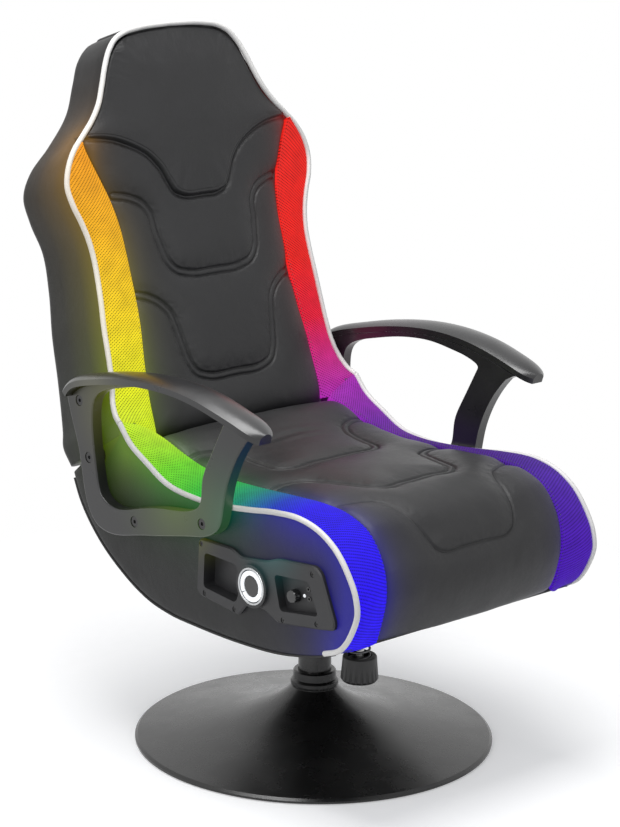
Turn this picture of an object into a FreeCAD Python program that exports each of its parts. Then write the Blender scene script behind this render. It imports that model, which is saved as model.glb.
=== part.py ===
import FreeCAD
import Part
import math
import os

# Gaming rocker chair on a swivel pedestal, in millimetres.
# Origin: swivel axis on the floor. +Z up, the sitter faces -Y, +X is the sitter's left.

V = FreeCAD.Vector
ACROSS = V(1, 0, 0)
UP = V(0, 0, 1)

# Clearances
SOFT_GAP = 0.3
RUN_GAP = 0.05
SIDE_GAP = 0.4
PAD_GAP = 0.6
TUB_GAP = 1.4

# Pedestal
BASE_RADIUS = 260
BASE_SHEET = 2.5
BASE_RIM_TOP = 7.6
RING_WIDTH = 16
NECK_RADIUS = 34
NECK_HEIGHT = 80
COLUMN_RADIUS = 24
COLUMN_WALL = 4
COLUMN_TOP = 166
BUSH_WALL = 2
SOCKET_WALL = 3
SOCKET_BOTTOM = 34
FLANGE_RADIUS = 112
FLANGE_PLATE = 5
WASHER_PLATE = 2
COLLAR_STEP = 90
COLLAR_TOP = 104
RETAINER_RADIUS = 6

# Tilt mechanism
PIVOT_HEIGHT = 192
PIVOT_RADIUS = 6
TILT_LIMIT = 12
BRACKET_HALF_WIDTH = 46
BRACKET_SHEET = 5
BRACKET_FRONT = -124
BRACKET_REAR = 46
NOSE_HEIGHT = 182
PLATE_UNDERSIDE = 213
PLATE_SHEET = 4.5
PLATE_FRONT = -126
PLATE_REAR = 74
PLATE_HALF_WIDTH = 82
KNOB_Y = -94
KNOB_RADIUS = 27
KNOB_BOTTOM = 112
KNOB_TOP = 150
KNOB_RIBS = 20
STUD_RADIUS = 6
SPRING_RADIUS = 14
SPRING_WIRE = 3.6
SPRING_TURNS = 6
BOLT_RADIUS = 4

# Seat
SIDE_OUTER = 226
SIDE_BOARD = 10
PIPING_X = 227.5
PIPING_RADIUS = 4.5
SEAM_X = 168
SEAT_CROWN = 7
CUSHION_DEPTH = 42
MESH_DEPTH = 34
PAN_PLATE = 8
FLOOR_BOARD = 7
GROOVE_WIDTH = 5
GROOVE_DEPTH = 4

# Backrest
RECLINE = 18.3
CREASE_Y = 157
CREASE_Z = 453
BACK_WALL = 7
BACK_CUSHION_DEPTH = 44
BACK_BOARD = 9
REAR_CORNER = 24
EDGE_TUCK = 6.5
FOOT_DROP = 30
ROOM_FRONT = 30
CUT_REACH = 60
FRONT_LINE_Z = 340
SEAT_REACH = 120
SPEAKER_RADIUS = 40
SPEAKER_DEPTH = 40
SPEAKER_X = 125
SPEAKER_S = 375
WOOFER_RADIUS = 70
WOOFER_DEPTH = 66
WOOFER_S = 165
LIGHT_WIDTH = 10

# Armrests
ARM_INNER = 233
ARM_THICKNESS = 17
PAD_THICKNESS = 15
BOSS_RADIUS = 11
ARM_EDGE = 2
LONG_RIM = 60

# Control panel
PANEL_PROUD = 9
PANEL_TUB = 20
PANEL_WALL = 2.5
BADGE_RADIUS = 26
SCREW_RADIUS = 4
VOLUME_RADIUS = 9


def edge(start, end, via=None):
    if via is None:
        return Part.LineSegment(start, end).toShape()
    return Part.Arc(start, via, end).toShape()


def ring(corners, vias=None):
    """Closed wire; vias maps the number of an edge to the point that its arc passes."""
    vias = vias or {}
    edges = []
    for number, corner in enumerate(corners):
        after = corners[(number + 1) % len(corners)]
        edges.append(edge(corner, after, vias.get(number)))
    return Part.Wire(edges)


def skin(sections):
    return Part.makeLoft(sections, True, False)


def smooth(points):
    curve = Part.BSplineCurve()
    curve.interpolate(points)
    return curve


def tangents(points):
    """Unit directions of the smooth curve through the points, one at each point."""
    curve = smooth(points)
    found = []
    for point in points:
        direction = curve.tangent(curve.parameter(point))[0]
        found.append(V(direction).normalize())
    return found


def side_normals(points):
    """Outward normals of a curve in the side view that runs from the crease to the front."""
    return [direction.cross(ACROSS).normalize() for direction in tangents(points)]


def shifted(points, distance):
    return [point + normal * distance for point, normal in zip(points, side_normals(points))]


def mirrored(shape):
    return shape.mirror(V(0, 0, 0), ACROSS)


def box(low, high):
    size = V(*high) - V(*low)
    return Part.makeBox(size.x, size.y, size.z, V(*low))


def rod(centre, direction, radius, length):
    return Part.makeCylinder(radius, length, V(*centre), V(*direction))


def spun(profile):
    """Solid of revolution about Z; profile is a list of (radius, height) corners."""
    corners = [V(radius, 0, height) for radius, height in profile]
    face = Part.Face(ring(corners))
    return face.revolve(V(0, 0, 0), UP, 360)


def tube_skin(points, radius, reference):
    """Round bar through the points, lofted through circles square to its smooth path."""
    sections = []
    for point, direction in zip(points, tangents(points)):
        side = direction.cross(reference).normalize()
        other = side.cross(direction).normalize()
        spots = []
        for sixth in range(6):
            angle = math.radians(60 * sixth)
            spots.append(point + side * (radius * math.cos(angle)) + other * (radius * math.sin(angle)))
        sections.append(ring(spots[0::2], {0: spots[1], 1: spots[3], 2: spots[5]}))
    return skin(sections)


def plate_from(outline_edges, x_low, x_high):
    """Plate between two values of x, from edges that close in the side view."""
    wire = Part.Wire(Part.__sortEdges__(outline_edges))
    face = Part.Face(wire)
    plate = face.extrude(V(x_high - x_low, 0, 0))
    plate.translate(V(x_low, 0, 0))
    return plate


def groove_band(points, width, direction, reach):
    """Prism that cuts a sewn line: a band of the given width along a rounded polyline."""
    edges = [edge(first, last) for first, last in zip(points, points[1:])]
    wire = Part.Wire(edges)
    outline = wire.makeOffset2D(width / 2)
    return Part.Face(outline).extrude(direction * reach)


# Pedestal

BASE_CURVE = [
    (BASE_RADIUS - 4, BASE_RIM_TOP),
    (230, 12),
    (180, 21.5),
    (130, 32.5),
    (100, 41.5),
    (71.5, 53.5),
    (46, 68.5),
    (NECK_RADIUS, NECK_HEIGHT - 1),
]


def flare_edges(drop):
    """The trumpet curve from rim to neck, moved square to itself by the sheet's thickness."""
    points = [V(radius, 0, height) for radius, height in BASE_CURVE]
    moved = []
    for point, direction in zip(points, tangents(points)):
        moved.append(point + direction.cross(V(0, 1, 0)).normalize() * drop)
    return moved


def flare_solid(drop, rim_radius, rim_bottom, rim_top, neck_top):
    curve = flare_edges(drop)
    shoulder = V(rim_radius, 0, rim_top)
    corners = [
        curve[-1],
        V(curve[-1].x, 0, neck_top),
        V(0, 0, neck_top),
        V(0, 0, rim_bottom),
        V(rim_radius, 0, rim_bottom),
        shoulder,
        curve[0],
    ]
    edges = [edge(first, last) for first, last in zip(corners, corners[1:])]
    edges.append(smooth(curve).toShape())
    return Part.Face(Part.Wire(edges)).revolve(V(0, 0, 0), UP, 360)


def under_space():
    """Everything below the sheet of the base."""
    return flare_solid(BASE_SHEET, BASE_RADIUS - 4, -1, 4.5, NECK_HEIGHT + 1)


def base_disc():
    body = flare_solid(0, BASE_RADIUS, 1.5, 4.5, NECK_HEIGHT)
    return body.cut(under_space())


def floor_ring():
    outer = BASE_RADIUS - 5
    band = rod((0, 0, 0), UP, outer, BASE_RIM_TOP * 2)
    band = band.cut(rod((0, 0, 0), UP, outer - RING_WIDTH, BASE_RIM_TOP * 2))
    return band.common(under_space())


SOCKET_BORE = COLUMN_RADIUS + RUN_GAP + BUSH_WALL
SOCKET_RADIUS = SOCKET_BORE + SOCKET_WALL
FLANGE_TOP = SOCKET_BOTTOM + FLANGE_PLATE
COLUMN_FOOT = FLANGE_TOP + WASHER_PLATE
SOCKET_TOP = COLLAR_TOP - 4


def base_socket():
    tube = rod((0, 0, SOCKET_BOTTOM), UP, SOCKET_RADIUS, SOCKET_TOP - SOCKET_BOTTOM)
    flange = rod((0, 0, SOCKET_BOTTOM), UP, FLANGE_RADIUS, FLANGE_PLATE)
    body = tube.fuse(flange.common(under_space()))
    body = body.cut(rod((0, 0, FLANGE_TOP), UP, SOCKET_BORE, SOCKET_TOP))
    body = body.cut(rod((0, 0, 0), UP, RETAINER_RADIUS + RUN_GAP, SOCKET_TOP))
    return body.removeSplitter()


def swivel_bush():
    length = SOCKET_TOP - COLUMN_FOOT
    body = rod((0, 0, COLUMN_FOOT), UP, SOCKET_BORE, length)
    return body.cut(rod((0, 0, COLUMN_FOOT), UP, COLUMN_RADIUS + RUN_GAP, length))


def thrust_washer():
    body = rod((0, 0, FLANGE_TOP), UP, COLUMN_RADIUS, WASHER_PLATE)
    return body.cut(rod((0, 0, FLANGE_TOP), UP, COLUMN_RADIUS / 2, WASHER_PLATE))


def base_collar():
    lip_radius = NECK_RADIUS - 3
    profile = [
        (SOCKET_RADIUS, NECK_HEIGHT),
        (NECK_RADIUS, NECK_HEIGHT),
        (NECK_RADIUS + 0.8, NECK_HEIGHT + 3),
        (NECK_RADIUS + 0.8, COLLAR_STEP - 2),
        (NECK_RADIUS - 1, COLLAR_STEP),
        (lip_radius, COLLAR_STEP + 1),
        (lip_radius, COLLAR_TOP - 2),
        (lip_radius - 2, COLLAR_TOP),
        (COLUMN_RADIUS + SIDE_GAP, COLLAR_TOP),
        (COLUMN_RADIUS + SIDE_GAP, SOCKET_TOP),
        (SOCKET_RADIUS, SOCKET_TOP),
    ]
    return spun(profile)


# Column and tilt mechanism

def column_tube():
    length = COLUMN_TOP - COLUMN_FOOT
    body = rod((0, 0, COLUMN_FOOT), UP, COLUMN_RADIUS, length)
    body = body.cut(rod((0, 0, COLUMN_FOOT + 8), UP, COLUMN_RADIUS - COLUMN_WALL, length))
    return body.cut(rod((0, 0, COLUMN_FOOT - 1), UP, RETAINER_RADIUS, 10))


def retaining_bolt():
    head_top = SOCKET_BOTTOM - SOFT_GAP
    shank = rod((0, 0, head_top), UP, RETAINER_RADIUS, COLUMN_FOOT + 14 - head_top)
    head = hexagon(V(0, 0, head_top - 7), RETAINER_RADIUS * 1.8, 7)
    return shank.fuse(head)


def hexagon(centre, radius, height, direction=UP):
    """Hexagonal prism whose corners lie on the radius."""
    if abs(direction.z) > 0.5:
        first = ACROSS
    else:
        first = UP
    second = direction.cross(first)
    corners = []
    for sixth in range(6):
        angle = math.radians(60 * sixth)
        corners.append(centre + first * (radius * math.cos(angle)) + second * (radius * math.sin(angle)))
    return Part.Face(ring(corners)).extrude(direction * height)


def bracket_side():
    """Side wall of the fixed channel: low at the rear, round over the pivot, nose raised in front."""
    crown = 17
    floor = COLUMN_TOP
    corners = [
        V(0, BRACKET_REAR, floor - BRACKET_SHEET),
        V(0, BRACKET_REAR, floor + 8),
        V(0, crown, PIVOT_HEIGHT),
        V(0, -crown, PIVOT_HEIGHT + 2),
        V(0, BRACKET_FRONT + 6, NOSE_HEIGHT + 18),
        V(0, BRACKET_FRONT, NOSE_HEIGHT + 12),
        V(0, BRACKET_FRONT, NOSE_HEIGHT),
        V(0, -62, NOSE_HEIGHT),
        V(0, -48, floor - BRACKET_SHEET),
    ]
    over = V(0, 0, PIVOT_HEIGHT + crown - 1)
    return Part.Face(ring(corners, {2: over}))


def tilt_bracket():
    half = BRACKET_HALF_WIDTH
    block = bracket_side().extrude(V(2 * half, 0, 0))
    block.translate(V(-half, 0, 0))
    inner = half - BRACKET_SHEET
    floor = COLUMN_TOP
    nose = NOSE_HEIGHT + BRACKET_SHEET
    rear_room = box((-inner, -42, floor), (inner, BRACKET_REAR - BRACKET_SHEET, floor + 90))
    front_room = box((-inner, BRACKET_FRONT + BRACKET_SHEET, nose), (inner, -41, floor + 90))
    body = block.cut(rear_room).cut(front_room)
    slot = box((-STUD_RADIUS - 1.5, KNOB_Y - 22, NOSE_HEIGHT - 5), (STUD_RADIUS + 1.5, KNOB_Y + 9, nose + 5))
    body = body.cut(slot)
    body = body.cut(rod((-half - 1, 0, PIVOT_HEIGHT), ACROSS, PIVOT_RADIUS, 2 * half + 2))
    return body.cut(rod((0, 0, 0), UP, COLUMN_RADIUS - COLUMN_WALL, COLUMN_TOP - 0.1)).cut(
        rod((0, 0, 0), UP, COLUMN_RADIUS, COLUMN_TOP)
    )


PLATE_EAR_GAP = 0.5
EAR_INNER = BRACKET_HALF_WIDTH + PLATE_EAR_GAP


def pivot_pin():
    reach = EAR_INNER + BRACKET_SHEET + SIDE_GAP
    pin = rod((-reach, 0, PIVOT_HEIGHT), ACROSS, PIVOT_RADIUS, 2 * reach)
    heads = rod((-reach - 4, 0, PIVOT_HEIGHT), ACROSS, PIVOT_RADIUS * 1.6, 4)
    return pin.fuse(heads).fuse(mirrored(heads))


def stop_height(y):
    """Height of the plate's underside at y when the seat is tilted back to its limit."""
    lean = math.radians(TILT_LIMIT)
    rise = PLATE_UNDERSIDE - PIVOT_HEIGHT
    return PIVOT_HEIGHT + (rise - y * math.sin(lean)) / math.cos(lean)


def tilt_stops():
    front_y = -70
    rear_y = 30
    front_floor = NOSE_HEIGHT + BRACKET_SHEET
    rear_top = stop_height(rear_y + 7) - SIDE_GAP
    pieces = []
    for x in (-26, 26):
        pieces.append(rod((x, front_y, front_floor), UP, 8, PLATE_UNDERSIDE - SOFT_GAP - front_floor))
        pieces.append(rod((x, rear_y, COLUMN_TOP), UP, 7, rear_top - COLUMN_TOP))
    return Part.makeCompound(pieces)


# Seat side of the mechanism

def tilt_plate():
    top = box(
        (-PLATE_HALF_WIDTH, PLATE_FRONT, PLATE_UNDERSIDE),
        (PLATE_HALF_WIDTH, PLATE_REAR, PLATE_UNDERSIDE + PLATE_SHEET),
    )
    upright = [part for part in top.Edges if abs(part.tangentAt(part.FirstParameter).z) > 0.9]
    body = top.makeFillet(22, upright)
    drop = 17
    for sign in (-1, 1):
        corners = [
            V(0, -60, PLATE_UNDERSIDE),
            V(0, 44, PLATE_UNDERSIDE),
            V(0, drop, PIVOT_HEIGHT),
            V(0, -drop, PIVOT_HEIGHT),
        ]
        under = V(0, 0, PIVOT_HEIGHT - drop)
        ear = Part.Face(ring(corners, {2: under})).extrude(V(BRACKET_SHEET, 0, 0))
        ear.translate(V(EAR_INNER, 0, 0))
        if sign < 0:
            ear = mirrored(ear)
        body = body.fuse(ear)
    body = body.cut(rod((-90, 0, PIVOT_HEIGHT), ACROSS, PIVOT_RADIUS + RUN_GAP, 180))
    for x, y in plate_bolt_spots():
        body = body.cut(rod((x, y, PLATE_UNDERSIDE - 1), UP, BOLT_RADIUS, PLATE_SHEET + 2))
    return body.removeSplitter()


def plate_bolt_spots():
    inset = 18
    spots = []
    for x in (-PLATE_HALF_WIDTH + inset, PLATE_HALF_WIDTH - inset):
        for y in (PLATE_FRONT + inset, PLATE_REAR - inset):
            spots.append((x, y))
    return spots


def plate_bolts():
    pieces = []
    for x, y in plate_bolt_spots():
        head = hexagon(V(x, y, PLATE_UNDERSIDE - 6), BOLT_RADIUS * 1.9, 6)
        shank = rod((x, y, PLATE_UNDERSIDE - 6), UP, BOLT_RADIUS, PLATE_SHEET + FLOOR_BOARD + 12)
        pieces.append(head.fuse(shank))
    return Part.makeCompound(pieces)


KNOB_FLOOR = KNOB_BOTTOM + 9


def tension_stud():
    bottom = KNOB_BOTTOM + 1
    return rod((0, KNOB_Y, bottom), UP, STUD_RADIUS, PLATE_UNDERSIDE - bottom)


def tension_knob():
    profile = [
        (STUD_RADIUS + RUN_GAP, KNOB_BOTTOM + 1),
        (KNOB_RADIUS - 3, KNOB_BOTTOM),
        (KNOB_RADIUS, KNOB_BOTTOM + 4),
        (KNOB_RADIUS - 2.5, KNOB_TOP - 2),
        (KNOB_RADIUS - 4, KNOB_TOP),
        (SPRING_RADIUS + SPRING_WIRE, KNOB_TOP),
        (SPRING_RADIUS + SPRING_WIRE, KNOB_FLOOR),
        (STUD_RADIUS + RUN_GAP, KNOB_FLOOR),
    ]
    body = spun(profile)
    cutters = []
    for number in range(KNOB_RIBS):
        angle = math.radians(360 / KNOB_RIBS * number)
        spot = (KNOB_RADIUS * math.cos(angle), KNOB_RADIUS * math.sin(angle), KNOB_BOTTOM - 1)
        cutters.append(rod(spot, UP, 1.8, KNOB_TOP))
    body = body.cut(Part.makeCompound(cutters))
    body.translate(V(0, KNOB_Y, 0))
    return body


def arc_from(start, direction, end):
    """The arc that leaves start along the direction and ends at end."""
    chord = end - start
    along = V(chord).normalize()
    turn = direction.getAngle(along)
    aside = (direction - along * direction.dot(along)).normalize()
    return edge(start, end, start + chord * 0.5 + aside * (chord.Length / 2 * math.tan(turn / 2)))


def coil_place(turns_done, pitch, bottom):
    angle = 2 * math.pi * turns_done
    point = V(SPRING_RADIUS * math.cos(angle), SPRING_RADIUS * math.sin(angle), bottom + pitch * turns_done)
    climb = pitch / (2 * math.pi * SPRING_RADIUS)
    direction = V(-math.sin(angle), math.cos(angle), climb).normalize()
    return point, direction


def tension_spring():
    """Coil of biarcs, a quarter turn each, round the stud."""
    bottom = KNOB_FLOOR + SPRING_WIRE / 2 + 0.2
    top = NOSE_HEIGHT - SPRING_WIRE / 2 - 0.2
    pitch = (top - bottom) / SPRING_TURNS
    print("spring gap between turns", round(pitch - SPRING_WIRE, 2))
    edges = []
    for quarter in range(4 * SPRING_TURNS):
        start, leaving = coil_place(quarter / 4, pitch, bottom)
        end, arriving = coil_place((quarter + 1) / 4, pitch, bottom)
        across = end - start
        fit = 2 * (1 - leaving.dot(arriving))
        drift = 2 * across.dot(leaving + arriving)
        reach = (-drift + math.sqrt(drift * drift + 4 * fit * across.dot(across))) / (2 * fit)
        joint = (start + end + (leaving - arriving) * reach) * 0.5
        along = (end - start - (leaving + arriving) * reach).normalize()
        edges.append(arc_from(start, leaving, joint))
        edges.append(arc_from(joint, along, end))
    start, leaving = coil_place(0, pitch, bottom)
    circle = Part.Wire(Part.Circle(start, leaving, SPRING_WIRE / 2).toShape())
    body = Part.Wire(edges).makePipeShell([circle], True, False)
    body.translate(V(0, KNOB_Y, 0))
    return body


# Seat: curves in the side view, from the crease between seat and back to the lower front edge

SEAM_CURVE = [
    (157, 453),
    (126, 446.5),
    (98, 438),
    (58, 428),
    (0, 422.5),
    (-60, 424),
    (-147, 429),
    (-196, 431),
    (-245, 427),
    (-284, 411),
    (-304, 388),
    (-316, 360),
    (-319, 330),
    (-313, 298),
    (-302, 262),
]
# Height of the piping above the seam, square to the seat, at the same places
PIPING_RISE = [14, 2, -8, -16, -19, -18, -12, -8, -6, -4, 0, 5, 6, 2, -5]
PIPING_CURVE = [
    (165, 475),
    (142, 451),
    (104, 430),
    (64, 411),
    (0, 403),
    (-61, 406),
    (-114, 413),
    (-164, 421),
    (-213, 423.5),
    (-252, 415),
    (-283, 397),
    (-306, 371),
    (-321, 344),
    (-325, 322),
    (-316, 294),
    (-294, 264),
    (-264, 251),
]
BELLY_CURVE = [
    (-288, 256),
    (-250, 243),
    (-174, 225.5),
    (-93, 219),
    (0, 218.5),
    (57, 221),
    (101, 229),
    (168, 259),
    (214, 291),
    (258, 340),
    (277, 378),
]
SPLIT_TOP = (160, 457)


def side_curve(spots, x=0):
    return [V(x, y, z) for y, z in spots]


SEAM_POINTS = side_curve(SEAM_CURVE)
SEAM_NORMALS = side_normals(SEAM_POINTS)
DECK_X = SIDE_OUTER - SIDE_BOARD - SOFT_GAP


def seat_place(station, x, height):
    """A point at a station of the seat: across x, and height square to the seam curve."""
    return SEAM_POINTS[station] + SEAM_NORMALS[station] * height + ACROSS * x


def seat_slab(x_low, x_high, low, high):
    """Curved board that follows the seat between two heights below the seam."""
    sections = []
    for station in range(len(SEAM_POINTS)):
        corners = [
            seat_place(station, x_low, low),
            seat_place(station, x_high, low),
            seat_place(station, x_high, high),
            seat_place(station, x_low, high),
        ]
        sections.append(ring(corners))
    return skin(sections)


def cushion_form(inset, depth):
    """Crowned leather cushion of the seat, its edges drawn in at the seams."""
    edge_x = SEAM_X - SOFT_GAP
    tuck = EDGE_TUCK
    low = -depth
    sections = []
    for station in range(len(SEAM_POINTS)):
        corners = [
            seat_place(station, -edge_x, low),
            seat_place(station, edge_x, low),
            seat_place(station, edge_x, -tuck - inset),
            seat_place(station, edge_x - tuck, 1.5 - inset),
            seat_place(station, -edge_x + tuck, 1.5 - inset),
            seat_place(station, -edge_x, -tuck - inset),
        ]
        crown = seat_place(station, 0, SEAT_CROWN - inset)
        right = seat_place(station, edge_x - tuck * 0.3, -tuck * 0.3 - inset)
        left = seat_place(station, -edge_x + tuck * 0.3, -tuck * 0.3 - inset)
        sections.append(ring(corners, {2: right, 3: crown, 4: left}))
    return skin(sections)


def both_ways(half_line):
    """A sewn line drawn on one half, carried across to the other."""
    return [(-x, along) for x, along in half_line] + [(x, along) for x, along in reversed(half_line)]


# Sewn lines of the seat, as (x, y) from the right edge to the middle, seen from above
SEAT_LINES = [
    [(160, 79), (142, 80), (117, 68), (106, 48), (99, 8), (92, -22), (74, -35), (40, -32)],
    [(158, -90), (136, -86), (109, -101), (97, -128), (86, -165), (76, -191), (60, -202), (25, -200)],
    [(163, -215), (140, -220), (113, -236), (100, -257), (90, -284), (80, -306), (64, -322), (25, -323)],
]


def sewn_cut(form, core, lines, lay, direction, reach):
    """Channels along sewn lines: the part of the form near the lines that lies outside its core."""
    bands = []
    for line in lines:
        points = [lay(x, along) for x, along in both_ways(line)]
        bands.append(groove_band(points, GROOVE_WIDTH, direction, reach))
    cutter = bands[0].fuse(bands[1:]) if len(bands) > 1 else bands[0]
    return form.cut(cutter.common(form).cut(core))


def seat_cushion():
    form = cushion_form(0, CUSHION_DEPTH)
    core = cushion_form(GROOVE_DEPTH, CUSHION_DEPTH)

    def lay(x, y):
        return V(x, y, FRONT_LINE_Z)

    return sewn_cut(form, core, SEAT_LINES, lay, UP, SEAT_REACH)


def seat_mesh():
    """Padded mesh strip between the seam and the piping, on the left side."""
    outer_x = DECK_X
    sections = []
    for station, rise in enumerate(PIPING_RISE):
        slope = (rise + 2) / (PIPING_X - SEAM_X)
        inner = seat_place(station, SEAM_X, -2)
        outer = seat_place(station, outer_x, -2 + slope * (outer_x - SEAM_X))
        middle_x = (SEAM_X + outer_x) / 2
        middle = seat_place(station, middle_x, 2.5 + slope * (middle_x - SEAM_X))
        corners = [
            inner,
            outer,
            seat_place(station, outer_x, -MESH_DEPTH),
            seat_place(station, SEAM_X, -MESH_DEPTH),
        ]
        sections.append(ring(corners, {0: middle}))
    return skin(sections)


def seat_pan():
    top = -CUSHION_DEPTH - PAD_GAP
    board = seat_slab(-DECK_X, DECK_X, top - PAN_PLATE, top)
    return board.cut(cushion_form(0, CUSHION_DEPTH + PAD_GAP))


def seat_lights():
    """Light strip laid on the pan below the mesh."""
    top = -CUSHION_DEPTH
    middle = (SEAM_X + DECK_X) / 2
    return seat_slab(middle - 5, middle + 5, top, top + 3)


def seat_piping(radius=PIPING_RADIUS):
    return tube_skin(side_curve(PIPING_CURVE, PIPING_X), radius, ACROSS)


def side_outline():
    """Edges of a seat side board: under the piping, down the front, along the belly, up the split."""
    top = shifted(side_curve(PIPING_CURVE), -PIPING_RADIUS - 2 * PAD_GAP)
    belly = side_curve(BELLY_CURVE)
    split = V(0, SPLIT_TOP[0], SPLIT_TOP[1])
    top[0] = split
    return [
        smooth(top).toShape(),
        edge(top[-1], belly[0]),
        smooth(belly).toShape(),
        edge(belly[-1], split),
    ]


def seat_side():
    board = plate_from(side_outline(), SIDE_OUTER - SIDE_BOARD, SIDE_OUTER)
    return board.cut(seat_piping(PIPING_RADIUS + SIDE_GAP))


def floor_board():
    """Board that closes the belly between the two sides."""
    outer = side_curve(BELLY_CURVE)
    inner = shifted(outer, -FLOOR_BOARD)
    outline_edges = [
        smooth(outer).toShape(),
        edge(outer[-1], inner[-1]),
        smooth(inner).toShape(),
        edge(inner[0], outer[0]),
    ]
    body = plate_from(outline_edges, -DECK_X, DECK_X)
    for x, y in plate_bolt_spots():
        body = body.cut(rod((x, y, PLATE_UNDERSIDE - 1), UP, BOLT_RADIUS, 60))
    return body


# Backrest: s runs up the reclined plane from the crease, depth runs back from that plane

LEAN = math.radians(RECLINE)
BACK_UP = V(0, math.sin(LEAN), math.cos(LEAN))
BACK_REARWARD = V(0, math.cos(LEAN), -math.sin(LEAN))
CREASE = V(0, CREASE_Y, CREASE_Z)

# (s at the front, s at the rear, half width, depth of the piping, depth of the rear face)
BACK_STATIONS = [
    (8, -26, 219, 13, 141),
    (50, 24, 219, 20, 150),
    (110, 98, 208, 21, 150),
    (170, 164, 205, 20, 146),
    (230, 228, 201.5, 18, 137),
    (285, 285, 206, 15.5, 127.5),
    (330, 330, 222, 12, 121.5),
    (366, 366, 229, 9.5, 114),
    (398, 398, 217, 5, 102),
    (429, 429, 191, 0, 84),
    (472, 472, 155, -3, 78),
    (515, 515, 135, -4.5, 76),
    (548, 547, 117, -5.5, 75),
    (562, 560, 104, -6, 74),
    (571, 568, 88, -6.5, 73),
]
BACK_TOP = 577
# Piping below and above the stations, as (x, s, depth): it joins the seat's piping at its foot
PIPING_FOOT = [(PIPING_X, 26, 3), (224.5, 35, 12)]
PIPING_CROWN = [(88, 573, -6.5), (58, 575.5, -7), (0, BACK_TOP, -7)]
HEAD_INSET = BACK_WALL + 2 * PAD_GAP
# (s, half width of the leather between its seams, depth of its edge, depth of its middle)
LEATHER_STATIONS = [
    (8, 161, 7, -2),
    (50, 160, 8, -3),
    (110, 155, 8, -4),
    (170, 149, 8, -4),
    (230, 149, 8, -4),
    (285, 150, 8, -4),
    (330, 159, 7, -5),
    (366, 171, 5, -7),
    (398, 184, 2, -9),
    (418, 191, -1, -10),
    (429, 191 - HEAD_INSET, -3, -11),
    (472, 155 - HEAD_INSET, -6, -13),
    (515, 135 - HEAD_INSET, -8, -14),
    (548, 117 - HEAD_INSET, -8, -14),
    (562, 104 - HEAD_INSET, -7, -12),
    (566, 97 - HEAD_INSET, -5, -9),
]


def back_place(x, s, depth):
    return CREASE + ACROSS * x + BACK_UP * s + BACK_REARWARD * depth


def tilted_place(station, x, depth):
    """A point in a station's own plane, which leans between its front and rear heights."""
    front, rear, _, _, rear_depth = station
    share = depth / rear_depth
    return back_place(x, front + (rear - front) * share, depth)


def tub_room(inset, floor_rise):
    """Space inside the tub, drawn in from its outside and open at the front."""
    rooms = []
    for number, station in enumerate(BACK_STATIONS):
        front, rear, half, piping, depth = station
        if number == 0:
            station = (front + floor_rise, rear + floor_rise, half, piping, depth)
        if number == len(BACK_STATIONS) - 1:
            station = (front - inset / 2, rear - inset / 2, half, piping, depth)
        rooms.append(shell_section(station, inset, piping - ROOM_FRONT, depth - inset))
    return skin(rooms)


def shell_section(station, inset, front_depth, rear_depth):
    """Back outline at one station: flat front, straight sides, rounded rear corners."""
    half = station[2] - inset
    bend = REAR_CORNER - inset
    corners = [
        tilted_place(station, -half, front_depth),
        tilted_place(station, half, front_depth),
        tilted_place(station, half, rear_depth - bend),
        tilted_place(station, half - bend, rear_depth),
        tilted_place(station, -half + bend, rear_depth),
        tilted_place(station, -half, rear_depth - bend),
    ]
    swing = bend * (1 - math.cos(math.pi / 4))
    right = tilted_place(station, half - swing, rear_depth - swing)
    left = tilted_place(station, -half + swing, rear_depth - swing)
    return ring(corners, {2: right, 4: left})


def back_shell():
    """Tub that holds the padding: side boxing, rear panel, floor and top wall."""
    edge_drop = PIPING_RADIUS + PAD_GAP
    outer = skin([shell_section(station, 0, station[3] + edge_drop, station[4]) for station in BACK_STATIONS])
    tub = outer.cut(tub_room(BACK_WALL, BACK_WALL)).cut(cushion_room())
    return tub.cut(back_piping(PIPING_RADIUS + SIDE_GAP))


def fitted(form):
    """What of a form lies clear inside the tub."""
    return form.common(tub_room(BACK_WALL + TUB_GAP, 0))


def cushion_room():
    """Space at the foot of the tub, so that the padding reaches down to the crease."""
    half = BACK_STATIONS[0][2] - BACK_WALL
    corners = [
        back_place(-half, -FOOT_DROP, -CUT_REACH),
        back_place(half, -FOOT_DROP, -CUT_REACH),
        back_place(half, BACK_STATIONS[1][0], -CUT_REACH),
        back_place(-half, BACK_STATIONS[1][0], -CUT_REACH),
    ]
    return Part.Face(ring(corners)).extrude(BACK_REARWARD * (CUT_REACH + BOARD_FRONT))


def leather_block(gap):
    """Everything between the two seams of the back, wider than the leather by a gap."""
    sections = []
    for s, half, _, _ in LEATHER_STATIONS:
        corners = [
            back_place(-half - gap, s, -CUT_REACH),
            back_place(half + gap, s, -CUT_REACH),
            back_place(half + gap, s, 2 * CUT_REACH),
            back_place(-half - gap, s, 2 * CUT_REACH),
        ]
        sections.append(ring(corners))
    return skin(sections)


def leather_form(inset):
    """Crowned front of the back, leather from seam to seam and over the whole head."""
    rear = BACK_CUSHION_DEPTH
    tuck = EDGE_TUCK
    sections = []
    for s, half, edge_depth, middle in LEATHER_STATIONS:
        low = min(s, LEATHER_STATIONS[-1][0] - SOFT_GAP)
        corners = [
            back_place(-half, low, rear),
            back_place(half, low, rear),
            back_place(half, low, edge_depth + tuck + inset),
            back_place(half - tuck, low, edge_depth - 1 + inset),
            back_place(-half + tuck, low, edge_depth - 1 + inset),
            back_place(-half, low, edge_depth + tuck + inset),
        ]
        bulge = tuck * 0.3
        vias = {
            2: back_place(half - bulge, low, edge_depth + bulge + inset),
            3: back_place(0, low, middle + inset),
            4: back_place(-half + bulge, low, edge_depth + bulge + inset),
        }
        sections.append(ring(corners, vias))
    return skin(sections)


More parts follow.
